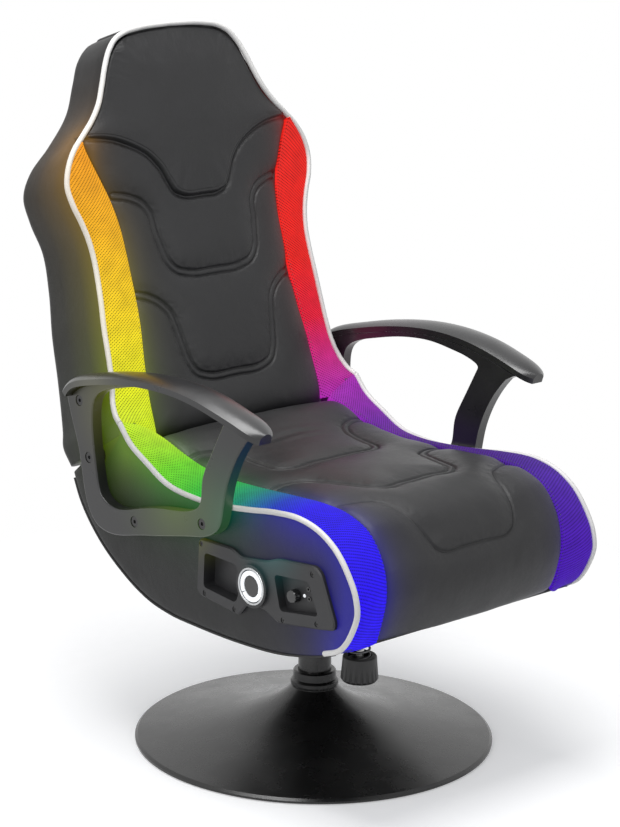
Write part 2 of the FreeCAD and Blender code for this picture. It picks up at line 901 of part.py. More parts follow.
# Sewn lines of the back, as (x, s) from the edge to the middle
HEAD_LINE = [(200, 423), (171, 422), (145, 418), (112, 405), (88, 390), (70, 370), (60, 350), (50, 335), (36, 327)]
BACK_LINES = [
    [(143, 338), (128, 334), (108, 323), (97, 306), (94, 281), (89, 257), (84, 238), (72, 223), (52, 216), (20, 214)],
    [(142, 197), (128, 190), (110, 178), (98, 163), (92, 140), (87, 112), (81, 88), (71, 72), (54, 65), (20, 63)],
]


def head_prism(grow):
    """Everything above the head's seam."""
    above = BACK_TOP + CUT_REACH
    corners = [back_place(-x, s - grow, -CUT_REACH) for x, s in HEAD_LINE]
    corners += [back_place(x, s - grow, -CUT_REACH) for x, s in reversed(HEAD_LINE)]
    corners += [back_place(HEAD_LINE[0][0], above, -CUT_REACH), back_place(-HEAD_LINE[0][0], above, -CUT_REACH)]
    return Part.Face(ring(corners)).extrude(BACK_REARWARD * 3 * CUT_REACH)


def head_pad():
    return fitted(leather_form(0)).common(head_prism(0))


def back_cushion():
    form = leather_form(0).cut(head_prism(SIDE_GAP))
    core = leather_form(GROOVE_DEPTH)

    def lay(x, s):
        return back_place(x, s, -CUT_REACH)

    return sewn_cut(form, core, BACK_LINES, lay, BACK_REARWARD, 2 * CUT_REACH)


def leather_half(s):
    """Half width and edge depth of the leather at a height, between its stations."""
    for low, high in zip(LEATHER_STATIONS, LEATHER_STATIONS[1:]):
        if low[0] <= s <= high[0]:
            share = (s - low[0]) / (high[0] - low[0])
            return [first + (last - first) * share for first, last in zip(low, high)][1:3]
    return list(LEATHER_STATIONS[-1][1:3])


def back_mesh():
    """Padded mesh strip of the back on the left side, narrowing to a tip at the shoulder."""
    sections = []
    for station in BACK_STATIONS:
        front, _, half, piping, _ = station
        if front > 400:
            break
        seam, edge_depth = leather_half(front)
        outer = half - BACK_WALL + 1
        inner = seam - 1
        share = (outer - inner) / (half - inner)
        inner_depth = edge_depth + 2
        outer_depth = inner_depth + (piping - inner_depth) * share
        corners = [
            back_place(inner, front, inner_depth),
            back_place(outer, front, outer_depth),
            back_place(outer, front, BACK_CUSHION_DEPTH),
            back_place(inner, front, BACK_CUSHION_DEPTH),
        ]
        middle = back_place((inner + outer) / 2, front, (inner_depth + outer_depth) / 2 - 3)
        sections.append(ring(corners, {0: middle}))
    strip = fitted(skin(sections)).cut(leather_block(PAD_GAP))
    return strip.cut(back_piping(PIPING_RADIUS + SIDE_GAP))


def back_slab(low_depth, high_depth, side, first=0, last=None):
    """Board across the back between two depths, its edges kept in from the outline by side."""
    sections = []
    stations = BACK_STATIONS[first:last]
    for front, _, half, _, _ in stations:
        corners = [
            back_place(-half + side, front, low_depth),
            back_place(half - side, front, low_depth),
            back_place(half - side, front, high_depth),
            back_place(-half + side, front, high_depth),
        ]
        sections.append(ring(corners))
    return skin(sections)


BOARD_FRONT = BACK_CUSHION_DEPTH + SOFT_GAP
BOARD_REAR = BOARD_FRONT + BACK_BOARD


def driver(radius, depth):
    """Loudspeaker about Z: flange, cone basket and magnet; it faces down, towards -Z."""
    return spun([
        (0, 6),
        (radius * 0.82, 0),
        (radius * 1.12, 0),
        (radius * 1.12, 3),
        (radius * 0.95, 3),
        (radius * 0.5, depth * 0.6),
        (radius * 0.5, depth),
        (0, depth),
    ])


def mounted(shape, x, s, depth):
    turned = shape.copy()
    turned.rotate(V(0, 0, 0), ACROSS, -90 - RECLINE)
    turned.translate(back_place(x, s, depth))
    return turned


def back_board():
    body = fitted(back_slab(BOARD_FRONT, BOARD_REAR, BACK_WALL, 1, -2))
    holes = [
        (SPEAKER_X, SPEAKER_S, SPEAKER_RADIUS),
        (-SPEAKER_X, SPEAKER_S, SPEAKER_RADIUS),
        (0, WOOFER_S, WOOFER_RADIUS),
    ]
    for x, s, radius in holes:
        body = body.cut(rod(back_place(x, s, BOARD_FRONT - 5), BACK_REARWARD, radius, BACK_BOARD + 10))
    return body


def speaker():
    return mounted(driver(SPEAKER_RADIUS, SPEAKER_DEPTH), SPEAKER_X, SPEAKER_S, BOARD_REAR)


def woofer():
    return mounted(driver(WOOFER_RADIUS, WOOFER_DEPTH), 0, WOOFER_S, BOARD_REAR)


def back_lights():
    """Light strip on the board's face, behind the mesh."""
    sections = []
    for station in BACK_STATIONS[1:]:
        front, _, half, _, _ = station
        if front > 370:
            break
        seam, _ = leather_half(front)
        middle = (seam + half - BACK_WALL) / 2
        corners = [
            back_place(middle - 5, front, BOARD_FRONT + BACK_BOARD),
            back_place(middle + 5, front, BOARD_FRONT + BACK_BOARD),
            back_place(middle + 5, front, BOARD_FRONT + BACK_BOARD + 2),
            back_place(middle - 5, front, BOARD_FRONT + BACK_BOARD + 2),
        ]
        sections.append(ring(corners))
    return skin(sections)


def back_piping(radius=PIPING_RADIUS):
    """One piping up the left edge, over the top and down the right edge."""
    half_line = list(PIPING_FOOT)
    for front, _, half, piping, _ in BACK_STATIONS[1:-1]:
        half_line.append((half, front, piping))
    half_line += PIPING_CROWN
    points = [back_place(x, s, depth) for x, s, depth in half_line]
    points += [back_place(-x, s, depth) for x, s, depth in reversed(half_line[:-1])]
    return tube_skin(points, radius, BACK_REARWARD)


# Armrests, drawn on the left side

ARM_TOP_CURVE = [
    (258, 512),
    (236, 531),
    (192, 546),
    (147, 557),
    (91, 568),
    (27, 575),
    (-26, 575),
    (-77, 569),
    (-128, 557),
    (-160, 547),
]
ARM_OUTER_CURVE = [
    (-141, 525),
    (-119, 499),
    (-100, 466),
    (-89, 436),
    (-83, 406),
    (-75, 382),
    (-54, 366),
    (-20, 357),
    (50, 341),
    (104, 329),
    (161, 319),
    (192, 327),
    (213, 356),
    (222, 389),
    (231, 430),
    (246, 470),
    (256, 500),
]
ARM_OPENING = [
    (-84, 530),
    (-53, 472),
    (-40, 440),
    (-33, 404),
    (-12, 392),
    (39, 383),
    (104, 368),
    (158, 360),
    (178, 370),
    (188, 395),
    (195, 432),
    (199, 475),
    (192, 510),
    (167, 526),
    (132, 536),
    (89, 546),
    (47, 552),
    (5, 553),
    (-36, 548),
    (-70, 541),
]
BOSSES = [(228, 499), (207, 420), (105, 349), (-40, 380)]
# Half widths and middles across of the pad at each place of its top curve
PAD_WIDTHS = [13, 15, 18, 21, 24, 25.5, 26, 26, 25, 23]
PAD_CENTRES = [248, 249, 252, 256, 259, 261, 261, 261, 260, 259]
# Nose of the pad, as (y, z, half width)
NOSE = [(-174, 541, 18), (-182, 537, 10)]


def pad_under(points):
    return shifted(points, -PAD_THICKNESS - PAD_GAP)


def arm_frame():
    """Moulded loop: rear member, bottom rail, front post and the rib under the pad."""
    top = pad_under(side_curve(ARM_TOP_CURVE))
    outer = side_curve(ARM_OUTER_CURVE)
    rim = [
        smooth(outer).toShape(),
        edge(outer[-1], top[0]),
        smooth(top).toShape(),
        edge(top[-1], outer[0]),
    ]
    body = plate_from(rim, ARM_INNER, ARM_INNER + ARM_THICKNESS)
    opening = side_curve(ARM_OPENING)
    loop = Part.BSplineCurve()
    loop.interpolate(opening, PeriodicFlag=True)
    hole = plate_from([loop.toShape()], ARM_INNER - 1, ARM_INNER + ARM_THICKNESS + 1)
    body = body.cut(hole)
    for y, z in BOSSES:
        body = body.cut(rod((ARM_INNER - 1, y, z), ACROSS, BOLT_RADIUS, ARM_THICKNESS + 2))
        body = body.cut(rod((ARM_INNER + ARM_THICKNESS - 5, y, z), ACROSS, BOSS_RADIUS - 3, 10))
    face = ARM_INNER + ARM_THICKNESS
    rims = [part for part in body.Edges if part.Length > LONG_RIM and abs(part.CenterOfMass.x - face) < 0.01]
    return body.makeFillet(ARM_EDGE, rims)


def arm_pad():
    """Broad curved rest, rounded on top, with a nose at the front."""
    curve = side_curve(ARM_TOP_CURVE)
    normals = side_normals(curve)
    places = []
    for point, normal, half, centre in zip(curve, normals, PAD_WIDTHS, PAD_CENTRES):
        places.append((point, normal, half, centre))
    for y, z, half in NOSE:
        places.append((V(0, y, z), normals[-1], half, PAD_CENTRES[-1]))
    sections = []
    for point, normal, half, centre in places:
        def spot(x, height, point=point, normal=normal, centre=centre):
            return point + normal * height + ACROSS * (centre + x)

        corners = [
            spot(-half, -PAD_THICKNESS),
            spot(half, -PAD_THICKNESS),
            spot(half, -PAD_THICKNESS * 0.45),
            spot(-half, -PAD_THICKNESS * 0.45),
        ]
        sections.append(ring(corners, {2: spot(0, 0)}))
    return skin(sections)


def arm_spacers():
    """Moulded feet between the arm and the padded side, one at each bolt."""
    pieces = []
    for y, z in BOSSES:
        wall = boss_wall(y, z)
        foot = rod((wall + SOFT_GAP, y, z), ACROSS, BOSS_RADIUS, ARM_INNER - wall - SOFT_GAP)
        pieces.append(foot.cut(rod((wall - 1, y, z), ACROSS, BOLT_RADIUS, 40)))
    return Part.makeCompound(pieces)


def boss_wall(y, z):
    """Half width of the padded side that a bolt meets."""
    if z < 470:
        return SIDE_OUTER
    s = (y - CREASE_Y) * math.sin(LEAN) + (z - CREASE_Z) * math.cos(LEAN)
    for low, high in zip(BACK_STATIONS, BACK_STATIONS[1:]):
        if low[0] <= s <= high[0]:
            share = (s - low[0]) / (high[0] - low[0])
            return low[2] + (high[2] - low[2]) * share
    return SIDE_OUTER


def arm_bolts():
    pieces = []
    seat = ARM_INNER + ARM_THICKNESS - 5
    for y, z in BOSSES:
        foot = boss_wall(y, z) - (SIDE_BOARD if z < 470 else BACK_WALL)
        shank = rod((foot, y, z), ACROSS, BOLT_RADIUS, seat - foot)
        head = rod((seat, y, z), ACROSS, BOSS_RADIUS - 3.5, 4)
        head = head.cut(hexagon(V(seat + 1.5, y, z), 3, 5, ACROSS))
        pieces.append(shank.fuse(head))
    return Part.makeCompound(pieces)


def bolt_holes():
    holes = []
    for y, z in BOSSES:
        holes.append(rod((SIDE_OUTER - 40, y, z), ACROSS, BOLT_RADIUS, 60))
    return holes


# Control panel on the right side, drawn on +X and mirrored

PANEL_FACE = SIDE_OUTER + PANEL_PROUD
PANEL_OUTLINE = [
    (-16, 352),
    (-12, 276),
    (-22, 270),
    (-100, 262),
    (-118, 283),
    (-152, 284),
    (-178, 272),
    (-258, 284),
    (-288, 290),
    (-290, 300),
    (-262, 362),
    (-250, 369),
    (-176, 361),
    (-152, 352),
    (-104, 346),
    (-84, 354),
]
POCKET = [(-26, 336), (-24, 283), (-96, 276), (-103, 290), (-101, 326), (-96, 336)]
DIAL_BAY = [(-168, 340), (-241, 348), (-262, 301), (-182, 288)]
BADGE = (-130, 312)
VOLUME_SPOT = (-203, 315)
JACKS = [(-226, 329), (-228, 316), (-244, 316)]
LED_SPOT = (-218, 318)
PANEL_SCREWS = [(-30, 276), (-92, 269), (-190, 279), (-256, 291), (-246, 357), (-22, 345)]
BAY_FLOOR = PANEL_FACE - 13
POCKET_FLOOR = PANEL_FACE - PANEL_TUB


def rounded_polygon(spots, radius, x_low, x_high):
    """Plate with rounded corners, from its corners in the side view."""
    corners = side_curve(spots)
    edges = []
    for number, corner in enumerate(corners):
        before = corners[number - 1]
        after = corners[(number + 1) % len(corners)]
        into = (before - corner).normalize()
        out = (after - corner).normalize()
        bend = min(radius, (before - corner).Length * 0.45, (after - corner).Length * 0.45)
        half_turn = into.getAngle(out) / 2
        bisector = (into + out).normalize()
        arc_radius = bend * math.tan(half_turn)
        via = corner + bisector * (arc_radius / math.sin(half_turn) - arc_radius)
        edges.append((corner + into * bend, via, corner + out * bend))
    drawn = []
    for number, (start, via, end) in enumerate(edges):
        drawn.append(edge(start, end, via))
        drawn.append(edge(end, edges[(number + 1) % len(edges)][0]))
    return plate_from(drawn, x_low, x_high)


def panel_housing():
    """Frame with a deep pocket, a shallow bay for the controls and a seat for the badge."""
    inner = SIDE_OUTER + SOFT_GAP
    body = rounded_polygon(PANEL_OUTLINE, 8, inner, PANEL_FACE)
    rim = [part for part in body.Edges if abs(part.CenterOfMass.x - PANEL_FACE) < 0.01]
    body = body.makeChamfer(2, rim)
    tub = rounded_polygon(POCKET, 6 + PANEL_WALL, POCKET_FLOOR - PANEL_WALL, inner + 1)
    bay = rounded_polygon(DIAL_BAY, 5 + PANEL_WALL, BAY_FLOOR - PANEL_WALL, inner + 1)
    body = body.fuse(tub).fuse(bay)
    body = body.cut(shrunk(POCKET, POCKET_FLOOR))
    body = body.cut(shrunk(DIAL_BAY, BAY_FLOOR))
    y, z = BADGE
    body = body.fuse(rod((inner, y, z), ACROSS, BADGE_RADIUS + 4, PANEL_PROUD + 4))
    body = body.cut(rod((inner + 2, y, z), ACROSS, BADGE_RADIUS + SOFT_GAP, PANEL_PROUD + 10))
    for y, z in PANEL_SCREWS:
        body = body.cut(rod((inner - 1, y, z), ACROSS, 1.6, 30))
        body = body.cut(rod((PANEL_FACE - 3, y, z), ACROSS, SCREW_RADIUS, 5))
    y, z = VOLUME_SPOT
    body = body.cut(rod((BAY_FLOOR - 5, y, z), ACROSS, 3 + RUN_GAP, 10))
    for y, z in JACKS:
        body = body.cut(rod((BAY_FLOOR - 5, y, z), ACROSS, 3.5, 10))
    y, z = LED_SPOT
    body = body.cut(rod((BAY_FLOOR - 5, y, z), ACROSS, 2.5, 10))
    return body.removeSplitter()


def centre_of(spots):
    return (sum(y for y, z in spots) / len(spots), sum(z for y, z in spots) / len(spots))


def shrunk(spots, floor):
    """Room inside a tub: its outline brought in by the wall, open at the face."""
    middle_y, middle_z = centre_of(spots)
    inner = []
    for y, z in spots:
        away = V(0, y - middle_y, z - middle_z)
        moved = away - V(away).normalize() * PANEL_WALL * 1.4
        inner.append((middle_y + moved.y, middle_z + moved.z))
    return rounded_polygon(inner, 6, floor, PANEL_FACE + 5)


def side_cutout():
    """Hole in the side board for the tubs of the panel."""
    tools = []
    for spots in (POCKET, DIAL_BAY):
        middle_y, middle_z = centre_of(spots)
        grown = []
        for y, z in spots:
            away = V(0, y - middle_y, z - middle_z)
            moved = away + V(away).normalize() * 1.5
            grown.append((middle_y + moved.y, middle_z + moved.z))
        tools.append(rounded_polygon(grown, 6, SIDE_OUTER - SIDE_BOARD - 1, SIDE_OUTER + 1))
    return tools


BADGE_SEAT = SIDE_OUTER + SOFT_GAP + 2
BADGE_FACE = PANEL_FACE + 5


def around_badge(inner, outer, low, high):
    y, z = BADGE
    body = rod((low, y, z), ACROSS, outer, high - low)
    return body.cut(rod((low - 1, y, z), ACROSS, inner, high - low + 2))


def badge_ring():
    outer = around_badge(BADGE_RADIUS - 3, BADGE_RADIUS, BADGE_SEAT, BADGE_FACE)
    rims = [part for part in outer.Edges if abs(part.CenterOfMass.x - BADGE_FACE) < 0.01]
    return outer.makeFillet(1.2, rims)


def light_segments():
    """Three white light segments round the button."""
    outer = BADGE_RADIUS - 4.5
    inner = outer - 6.5
    body = around_badge(inner, outer, BADGE_SEAT, BADGE_FACE - 1)
    y, z = BADGE
    for angle in (78, 205, 325):
        slit = box((BADGE_SEAT - 1, 0, -0.8), (BADGE_FACE + 1, BADGE_RADIUS, 0.8))
        slit.rotate(V(0, 0, 0), ACROSS, angle)
        slit.translate(V(0, y, z))
        body = body.cut(slit)
    return body


def badge_base():
    """Dark dish under the segments, with a well for the button."""
    dish = around_badge(BADGE_RADIUS - 11.5, BADGE_RADIUS - 3, BADGE_SEAT, BADGE_FACE - 2.5)
    return dish.cut(around_badge(BADGE_RADIUS - 11, BADGE_RADIUS - 4.5, BADGE_SEAT, BADGE_FACE))


BUTTON_RADIUS = BADGE_RADIUS - 12
BUTTON_TRAVEL = 1.5


def power_button():
    y, z = BADGE
    low = BADGE_SEAT + BUTTON_TRAVEL + SOFT_GAP
    cap = rod((low, y, z), ACROSS, BUTTON_RADIUS, BADGE_FACE - 1.5 - low)
    rim = [part for part in cap.Edges if abs(part.CenterOfMass.x - (BADGE_FACE - 1.5)) < 0.01]
    return cap.makeFillet(1.2, rim)


def volume_knob():
    y, z = VOLUME_SPOT
    low = BAY_FLOOR + 0.5
    cap = rod((low, y, z), ACROSS, VOLUME_RADIUS, PANEL_FACE - 2 - low)
    rim = [part for part in cap.Edges if abs(part.CenterOfMass.x - (PANEL_FACE - 2)) < 0.01]
    cap = cap.makeChamfer(1, rim)
    flutes = []
    for number in range(12):
        angle = math.radians(30 * number)
        spot = (low - 1, y + (VOLUME_RADIUS + 0.6) * math.cos(angle), z + (VOLUME_RADIUS + 0.6) * math.sin(angle))
        flutes.append(rod(spot, ACROSS, 1.2, 20))
    cap = cap.cut(Part.makeCompound(flutes))
    return cap.fuse(rod((BAY_FLOOR - 8, y, z), ACROSS, 3, low - BAY_FLOOR + 8))


def audio_jacks():
    pieces = []
    for y, z in JACKS:
        barrel = rod((BAY_FLOOR - 8, y, z), ACROSS, 3.4, 9)
        pieces.append(barrel.cut(rod((BAY_FLOOR - 6, y, z), ACROSS, 1.75, 10)))
    return Part.makeCompound(pieces)


def status_lens():
    y, z = LED_SPOT
    lens = rod((BAY_FLOOR - 4, y, z), ACROSS, 2.4, 5)
    tip = [part for part in lens.Edges if abs(part.CenterOfMass.x - (BAY_FLOOR + 1)) < 0.01]
    return lens.makeFillet(0.9, tip)


def panel_screws():
    pieces = []
    for y, z in PANEL_SCREWS:
        head = rod((PANEL_FACE - 3, y, z), ACROSS, SCREW_RADIUS - 0.4, 2)
        shank = rod((SIDE_OUTER - SIDE_BOARD + 2, y, z), ACROSS, 1.5, PANEL_FACE - SIDE_OUTER + SIDE_BOARD - 5)
        head = head.cut(box((PANEL_FACE - 2, y - 2.4, z - 0.4), (PANEL_FACE, y + 2.4, z + 0.4)))
        head = head.cut(box((PANEL_FACE - 2, y - 0.4, z - 2.4), (PANEL_FACE, y + 0.4, z + 2.4)))
        pieces.append(head.fuse(shank))
    return Part.makeCompound(pieces)


def screw_holes():
    return [rod((SIDE_OUTER - SIDE_BOARD - 1, y, z), ACROSS, 1.5, 30) for y, z in PANEL_SCREWS]


def circuit_board():
    """Board behind the bay that carries the volume shaft and the sockets."""
    rear = BAY_FLOOR - PANEL_WALL - SOFT_GAP
    middle_y, middle_z = centre_of(DIAL_BAY)
    body = box((rear - 1.6, middle_y - 30, middle_z - 18), (rear, middle_y + 30, middle_z + 18))
    y, z = VOLUME_SPOT
    body = body.cut(rod((rear - 5, y, z), ACROSS, 3.3, 10))
    for y, z in JACKS:
        body = body.cut(rod((rear - 5, y, z), ACROSS, 3.6, 10))
    for y, z in [LED_SPOT]:
        body = body.cut(rod((rear - 5, y, z), ACROSS, 2.6, 10))
    return body


def amplifier():
    """Finned amplifier case that stands on the floor board."""
    floor = 227
    front = -96
    body = box((-190, front, floor), (-100, front + 120, floor + 34))
    fins = []
    for number in range(7):
        y = front + 8 + number * 15
        fins.append(box((-191, y, floor + 24), (-99, y + 8, floor + 40)))
    return body.cut(Part.makeCompound(fins))


def nodes():
    """Every piece by name; what is drawn on one side is mirrored to the other."""
    side = seat_side()
    left_side = side
    right_side = mirrored(side)
    for hole in bolt_holes():
        left_side = left_side.cut(hole)
        right_side = right_side.cut(mirrored(hole))
    for tool in side_cutout() + screw_holes():
        right_side = right_side.cut(mirrored(tool))
    shell = back_shell()
    for y, z in BOSSES:
        if z > 470:
            hole = rod((SIDE_OUTER - 60, y, z), ACROSS, BOLT_RADIUS, 80)
            shell = shell.cut(hole).cut(mirrored(hole))
    found = {
        "base_disc": base_disc(),
        "floor_ring": floor_ring(),
        "base_socket": base_socket(),
        "swivel_bush": swivel_bush(),
        "thrust_washer": thrust_washer(),
        "base_collar": base_collar(),
        "column_tube": column_tube(),
        "retaining_bolt": retaining_bolt(),
        "tilt_bracket": tilt_bracket(),
        "pivot_pin": pivot_pin(),
        "tilt_stops": tilt_stops(),
        "tilt_plate": tilt_plate(),
        "plate_bolts": plate_bolts(),
        "tension_stud": tension_stud(),
        "tension_knob": tension_knob(),
        "tension_spring": tension_spring(),
        "seat_floor_board": floor_board(),
        "seat_pan": seat_pan(),
        "seat_cushion": seat_cushion(),
        "seat_side_left": left_side,
        "seat_side_right": right_side,
        "back_shell": shell,
        "back_board": back_board(),
        "back_cushion": back_cushion(),
        "head_pad": head_pad(),
        "back_piping": back_piping(),
        "woofer": woofer(),
        "amplifier": amplifier(),
    }
    pairs = {
        "seat_mesh": seat_mesh(),
        "seat_lights": seat_lights(),
        "seat_piping": seat_piping(),
        "back_mesh": back_mesh(),
        "back_lights": back_lights(),
        "speaker": speaker(),
        "arm_frame": arm_frame(),
        "arm_pad": arm_pad(),
        "arm_spacers": arm_spacers(),
        "arm_bolts": arm_bolts(),
    }
    for name, shape in pairs.items():
        found[name + "_left"] = shape
        found[name + "_right"] = mirrored(shape)
    panel = {
        "panel_housing": panel_housing(),
        "panel_screws": panel_screws(),
        "badge_ring": badge_ring(),
        "badge_base": badge_base(),
        "light_segments": light_segments(),
        "power_button": power_button(),
        "volume_knob": volume_knob(),
        "audio_jacks": audio_jacks(),
        "status_lens": status_lens(),
        "circuit_board": circuit_board(),
    }
    for name, shape in panel.items():
        found[name] = mirrored(shape)
    return found


os.makedirs("parts", exist_ok=True)
for name, shape in nodes().items():
    shape.exportStep("parts/" + name + ".step")
    print(name, len(shape.Solids), shape.isValid(), round(shape.Volume / 1000, 1))
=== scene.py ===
import math

import bmesh
import bpy
import numpy as np
from mathutils import Matrix, Vector, noise


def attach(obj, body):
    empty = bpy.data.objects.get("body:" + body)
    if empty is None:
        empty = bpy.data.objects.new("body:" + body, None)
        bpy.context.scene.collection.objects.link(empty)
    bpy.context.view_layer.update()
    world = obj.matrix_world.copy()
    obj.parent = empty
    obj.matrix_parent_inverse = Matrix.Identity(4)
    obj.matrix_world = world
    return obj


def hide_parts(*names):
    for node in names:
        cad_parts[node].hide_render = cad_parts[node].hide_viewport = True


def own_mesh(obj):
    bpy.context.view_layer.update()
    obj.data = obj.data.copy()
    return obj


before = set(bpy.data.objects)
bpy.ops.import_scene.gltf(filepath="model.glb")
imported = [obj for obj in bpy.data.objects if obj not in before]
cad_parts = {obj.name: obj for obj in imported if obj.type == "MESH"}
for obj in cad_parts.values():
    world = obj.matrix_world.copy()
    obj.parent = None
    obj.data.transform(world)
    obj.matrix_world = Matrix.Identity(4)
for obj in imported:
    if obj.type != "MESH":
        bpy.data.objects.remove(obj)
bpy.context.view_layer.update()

# Sizes below are in millimetres; meshes are made in metres.
MM = 0.001

# Camera and picture
PICTURE_HEIGHT = 827
FOCAL_PIXELS = 2715.4
SENSOR = 36.0
CAMERA_PLACE = (-2.5210, -2.7224, 1.4629)
CAMERA_AZIMUTH = -42.61
CAMERA_ELEVATION = 14.77
CAMERA_ROLL = 0.86

# Sides as the sitter has them, by the sign of x
SIDE_NAMES = {-1: "right", 1: "left"}

# Seat: half width of the leather, of the piping, and the (y, z) curves of seam, piping and belly
SEAM_X = 168
PIPING_X = 227.5
PIPING_RADIUS = 3.9
SEAT_CROWN = 6
SEAT_THICK = 40
SEAM_CURVE = [
    (157, 453), (126, 446.5), (98, 438), (58, 428), (0, 422.5), (-60, 424), (-147, 429), (-196, 431),
    (-245, 427), (-284, 411), (-304, 388), (-316, 360), (-319, 330), (-313, 298), (-302, 262),
]
SEAT_PIPING = [
    (165, 475), (142, 451), (104, 430), (64, 411), (0, 403), (-61, 406), (-114, 413), (-164, 421),
    (-213, 423.5), (-252, 415), (-283, 397), (-306, 371), (-321, 344), (-325, 322), (-316, 294),
    (-294, 264), (-264, 251),
]
BELLY = [
    (-288, 256), (-250, 243), (-174, 225.5), (-93, 219), (0, 218.5), (57, 221), (101, 229), (168, 259),
    (214, 291), (258, 340), (277, 378),
]
# Side boards: x of the face, and thickness
SIDE_FACE = 226
SIDE_THICK = 24
# Floor board, and how far its leather wrap stands off the belly curve
FLOOR_THICK = 7
WRAP = 0.5
WELT_RADIUS = 2.0
STRIP_CROWN = 6
STRIP_THICK = 9
# Opening in the right side board behind the control panel, as (y, z)
PANEL_OPENING = [
    (-22, 344), (-20, 281), (-98, 271), (-120, 290), (-152, 291), (-180, 281), (-274, 296), (-256, 352),
    (-176, 352), (-150, 343), (-104, 338), (-84, 346),
]

# Backrest: s runs up the reclined plane from the crease, depth runs back from it
RECLINE = math.radians(18.3)
CREASE = np.array([0, 157, 453.0])
BACK_UP = np.array([0, math.sin(RECLINE), math.cos(RECLINE)])
BACK_REARWARD = np.array([0, math.cos(RECLINE), -math.sin(RECLINE)])
# (half width, s, depth) of the piping, from its lower end to the middle of the top
BACK_PIPING = [
    (227.5, 23, 1), (224, 34, 11), (219.5, 50, 18), (211.5, 79, 21), (208, 113, 21.5), (206, 156, 21),
    (203, 199, 19), (201.5, 227, 18.5), (201.5, 255, 17.5), (205.5, 284, 15.5), (213, 309, 13.5),
    (224, 337, 11), (228.5, 362, 9.5), (223, 387, 6), (210, 410, 3), (191, 430, 0), (172, 449, -2),
    (155, 472, -3.5), (143, 497, -4), (131, 525, -5), (119, 546, -5.5), (106, 560, -6), (88, 569, -6.5),
    (60, 574, -7), (0, 577, -7),
]
# (s, half width) of the seam between leather and mesh
BACK_SEAM = [
    (-4, 161), (50, 160), (100, 156), (158, 149.5), (230, 148.5), (263, 149), (296, 151), (337, 160),
    (366, 171), (388, 180.5), (406, 189), (422, 196),
]
# Sewn lines of the back, (x, s) from the edge to the middle
HEAD_LINE = [
    (196, 424), (171, 422.5), (145, 418), (112, 405), (88, 390), (70, 370), (59, 349), (50, 334), (34, 326),
    (0, 324),
]
QUILT_BACK = [
    [
        (152, 340), (128, 334), (108, 323), (97, 306), (94, 281), (89, 257), (84, 238), (72, 223),
        (50, 215), (0, 213),
    ],
    [
        (152, 198), (128, 190), (110, 178), (98, 163), (92, 140), (87, 112), (81, 88), (71, 72), (52, 64),
        (0, 62),
    ],
]
# Sewn lines of the seat, (x, distance along the seat from the crease)
QUILT_SEAT = [
    [(164, 78), (142, 78), (118, 89), (106, 108), (99, 150), (93, 180), (74, 193), (40, 191), (0, 191)],
    [(164, 246), (136, 246), (110, 260), (97, 288), (86, 325), (76, 352), (60, 364), (25, 362), (0, 362)],
]
TONGUE_SEAT = [
    (168, 372), (140, 380), (113, 395), (100, 416), (92, 444), (82, 478), (74, 493), (60, 500), (25, 500),
    (0, 500),
]

# Half widths, and heights s, between which the leather of the back and the head pad is drawn
HEAD_CORNER_X = 196
HEAD_CORNER_S = 424
BACK_FOOT_S = -14.0
SHELL_CORNER = 17.0

# Cushions swell as cloth under this pressure for these frames, and no point moves further than the limit
PRESSURE = 4.0
CLOTH_FRAMES = 20
SWELL_LIMIT = 7.0

# Light of the strips on the leather beside them: (full up to, reach beyond that, strength)
SEAT_SPILL = (24, 15, 0.20)
BACK_SPILL = (24, 13, 0.17)
HEAD_SPILL = (14, 12, 0.10)
SIDE_SPILL = (34, 26, 0.22)
SHELL_SPILL = (24, 26, 0.26)
# The spilled light is a little greener than the strips
SPILL_TINT = np.array([0.66, 0.86, 1.0])

# Colours of the lit strips from the tip at the shoulder to the seat's lower front edge
RIGHT_GLOW = [
    (0.00, (1.00, 0.36, 0.01)),
    (0.12, (1.00, 0.50, 0.01)),
    (0.24, (1.00, 0.72, 0.01)),
    (0.34, (0.86, 0.90, 0.01)),
    (0.42, (0.60, 0.92, 0.02)),
    (0.50, (0.18, 0.78, 0.02)),
    (0.58, (0.02, 0.55, 0.05)),
    (0.65, (0.01, 0.28, 0.22)),
    (0.71, (0.01, 0.05, 0.62)),
    (0.76, (0.02, 0.00, 1.00)),
    (1.00, (0.02, 0.00, 1.00)),
]
LEFT_GLOW = [
    (0.00, (0.90, 0.015, 0.008)),
    (0.20, (0.94, 0.010, 0.006)),
    (0.29, (0.84, 0.005, 0.04)),
    (0.36, (0.62, 0.02, 0.28)),
    (0.42, (0.40, 0.02, 0.50)),
    (0.50, (0.18, 0.01, 0.42)),
    (0.60, (0.07, 0.00, 0.26)),
    (0.72, (0.06, 0.00, 0.26)),
    (0.82, (0.08, 0.01, 0.42)),
    (1.00, (0.06, 0.00, 0.50)),
]


# Curves and grids

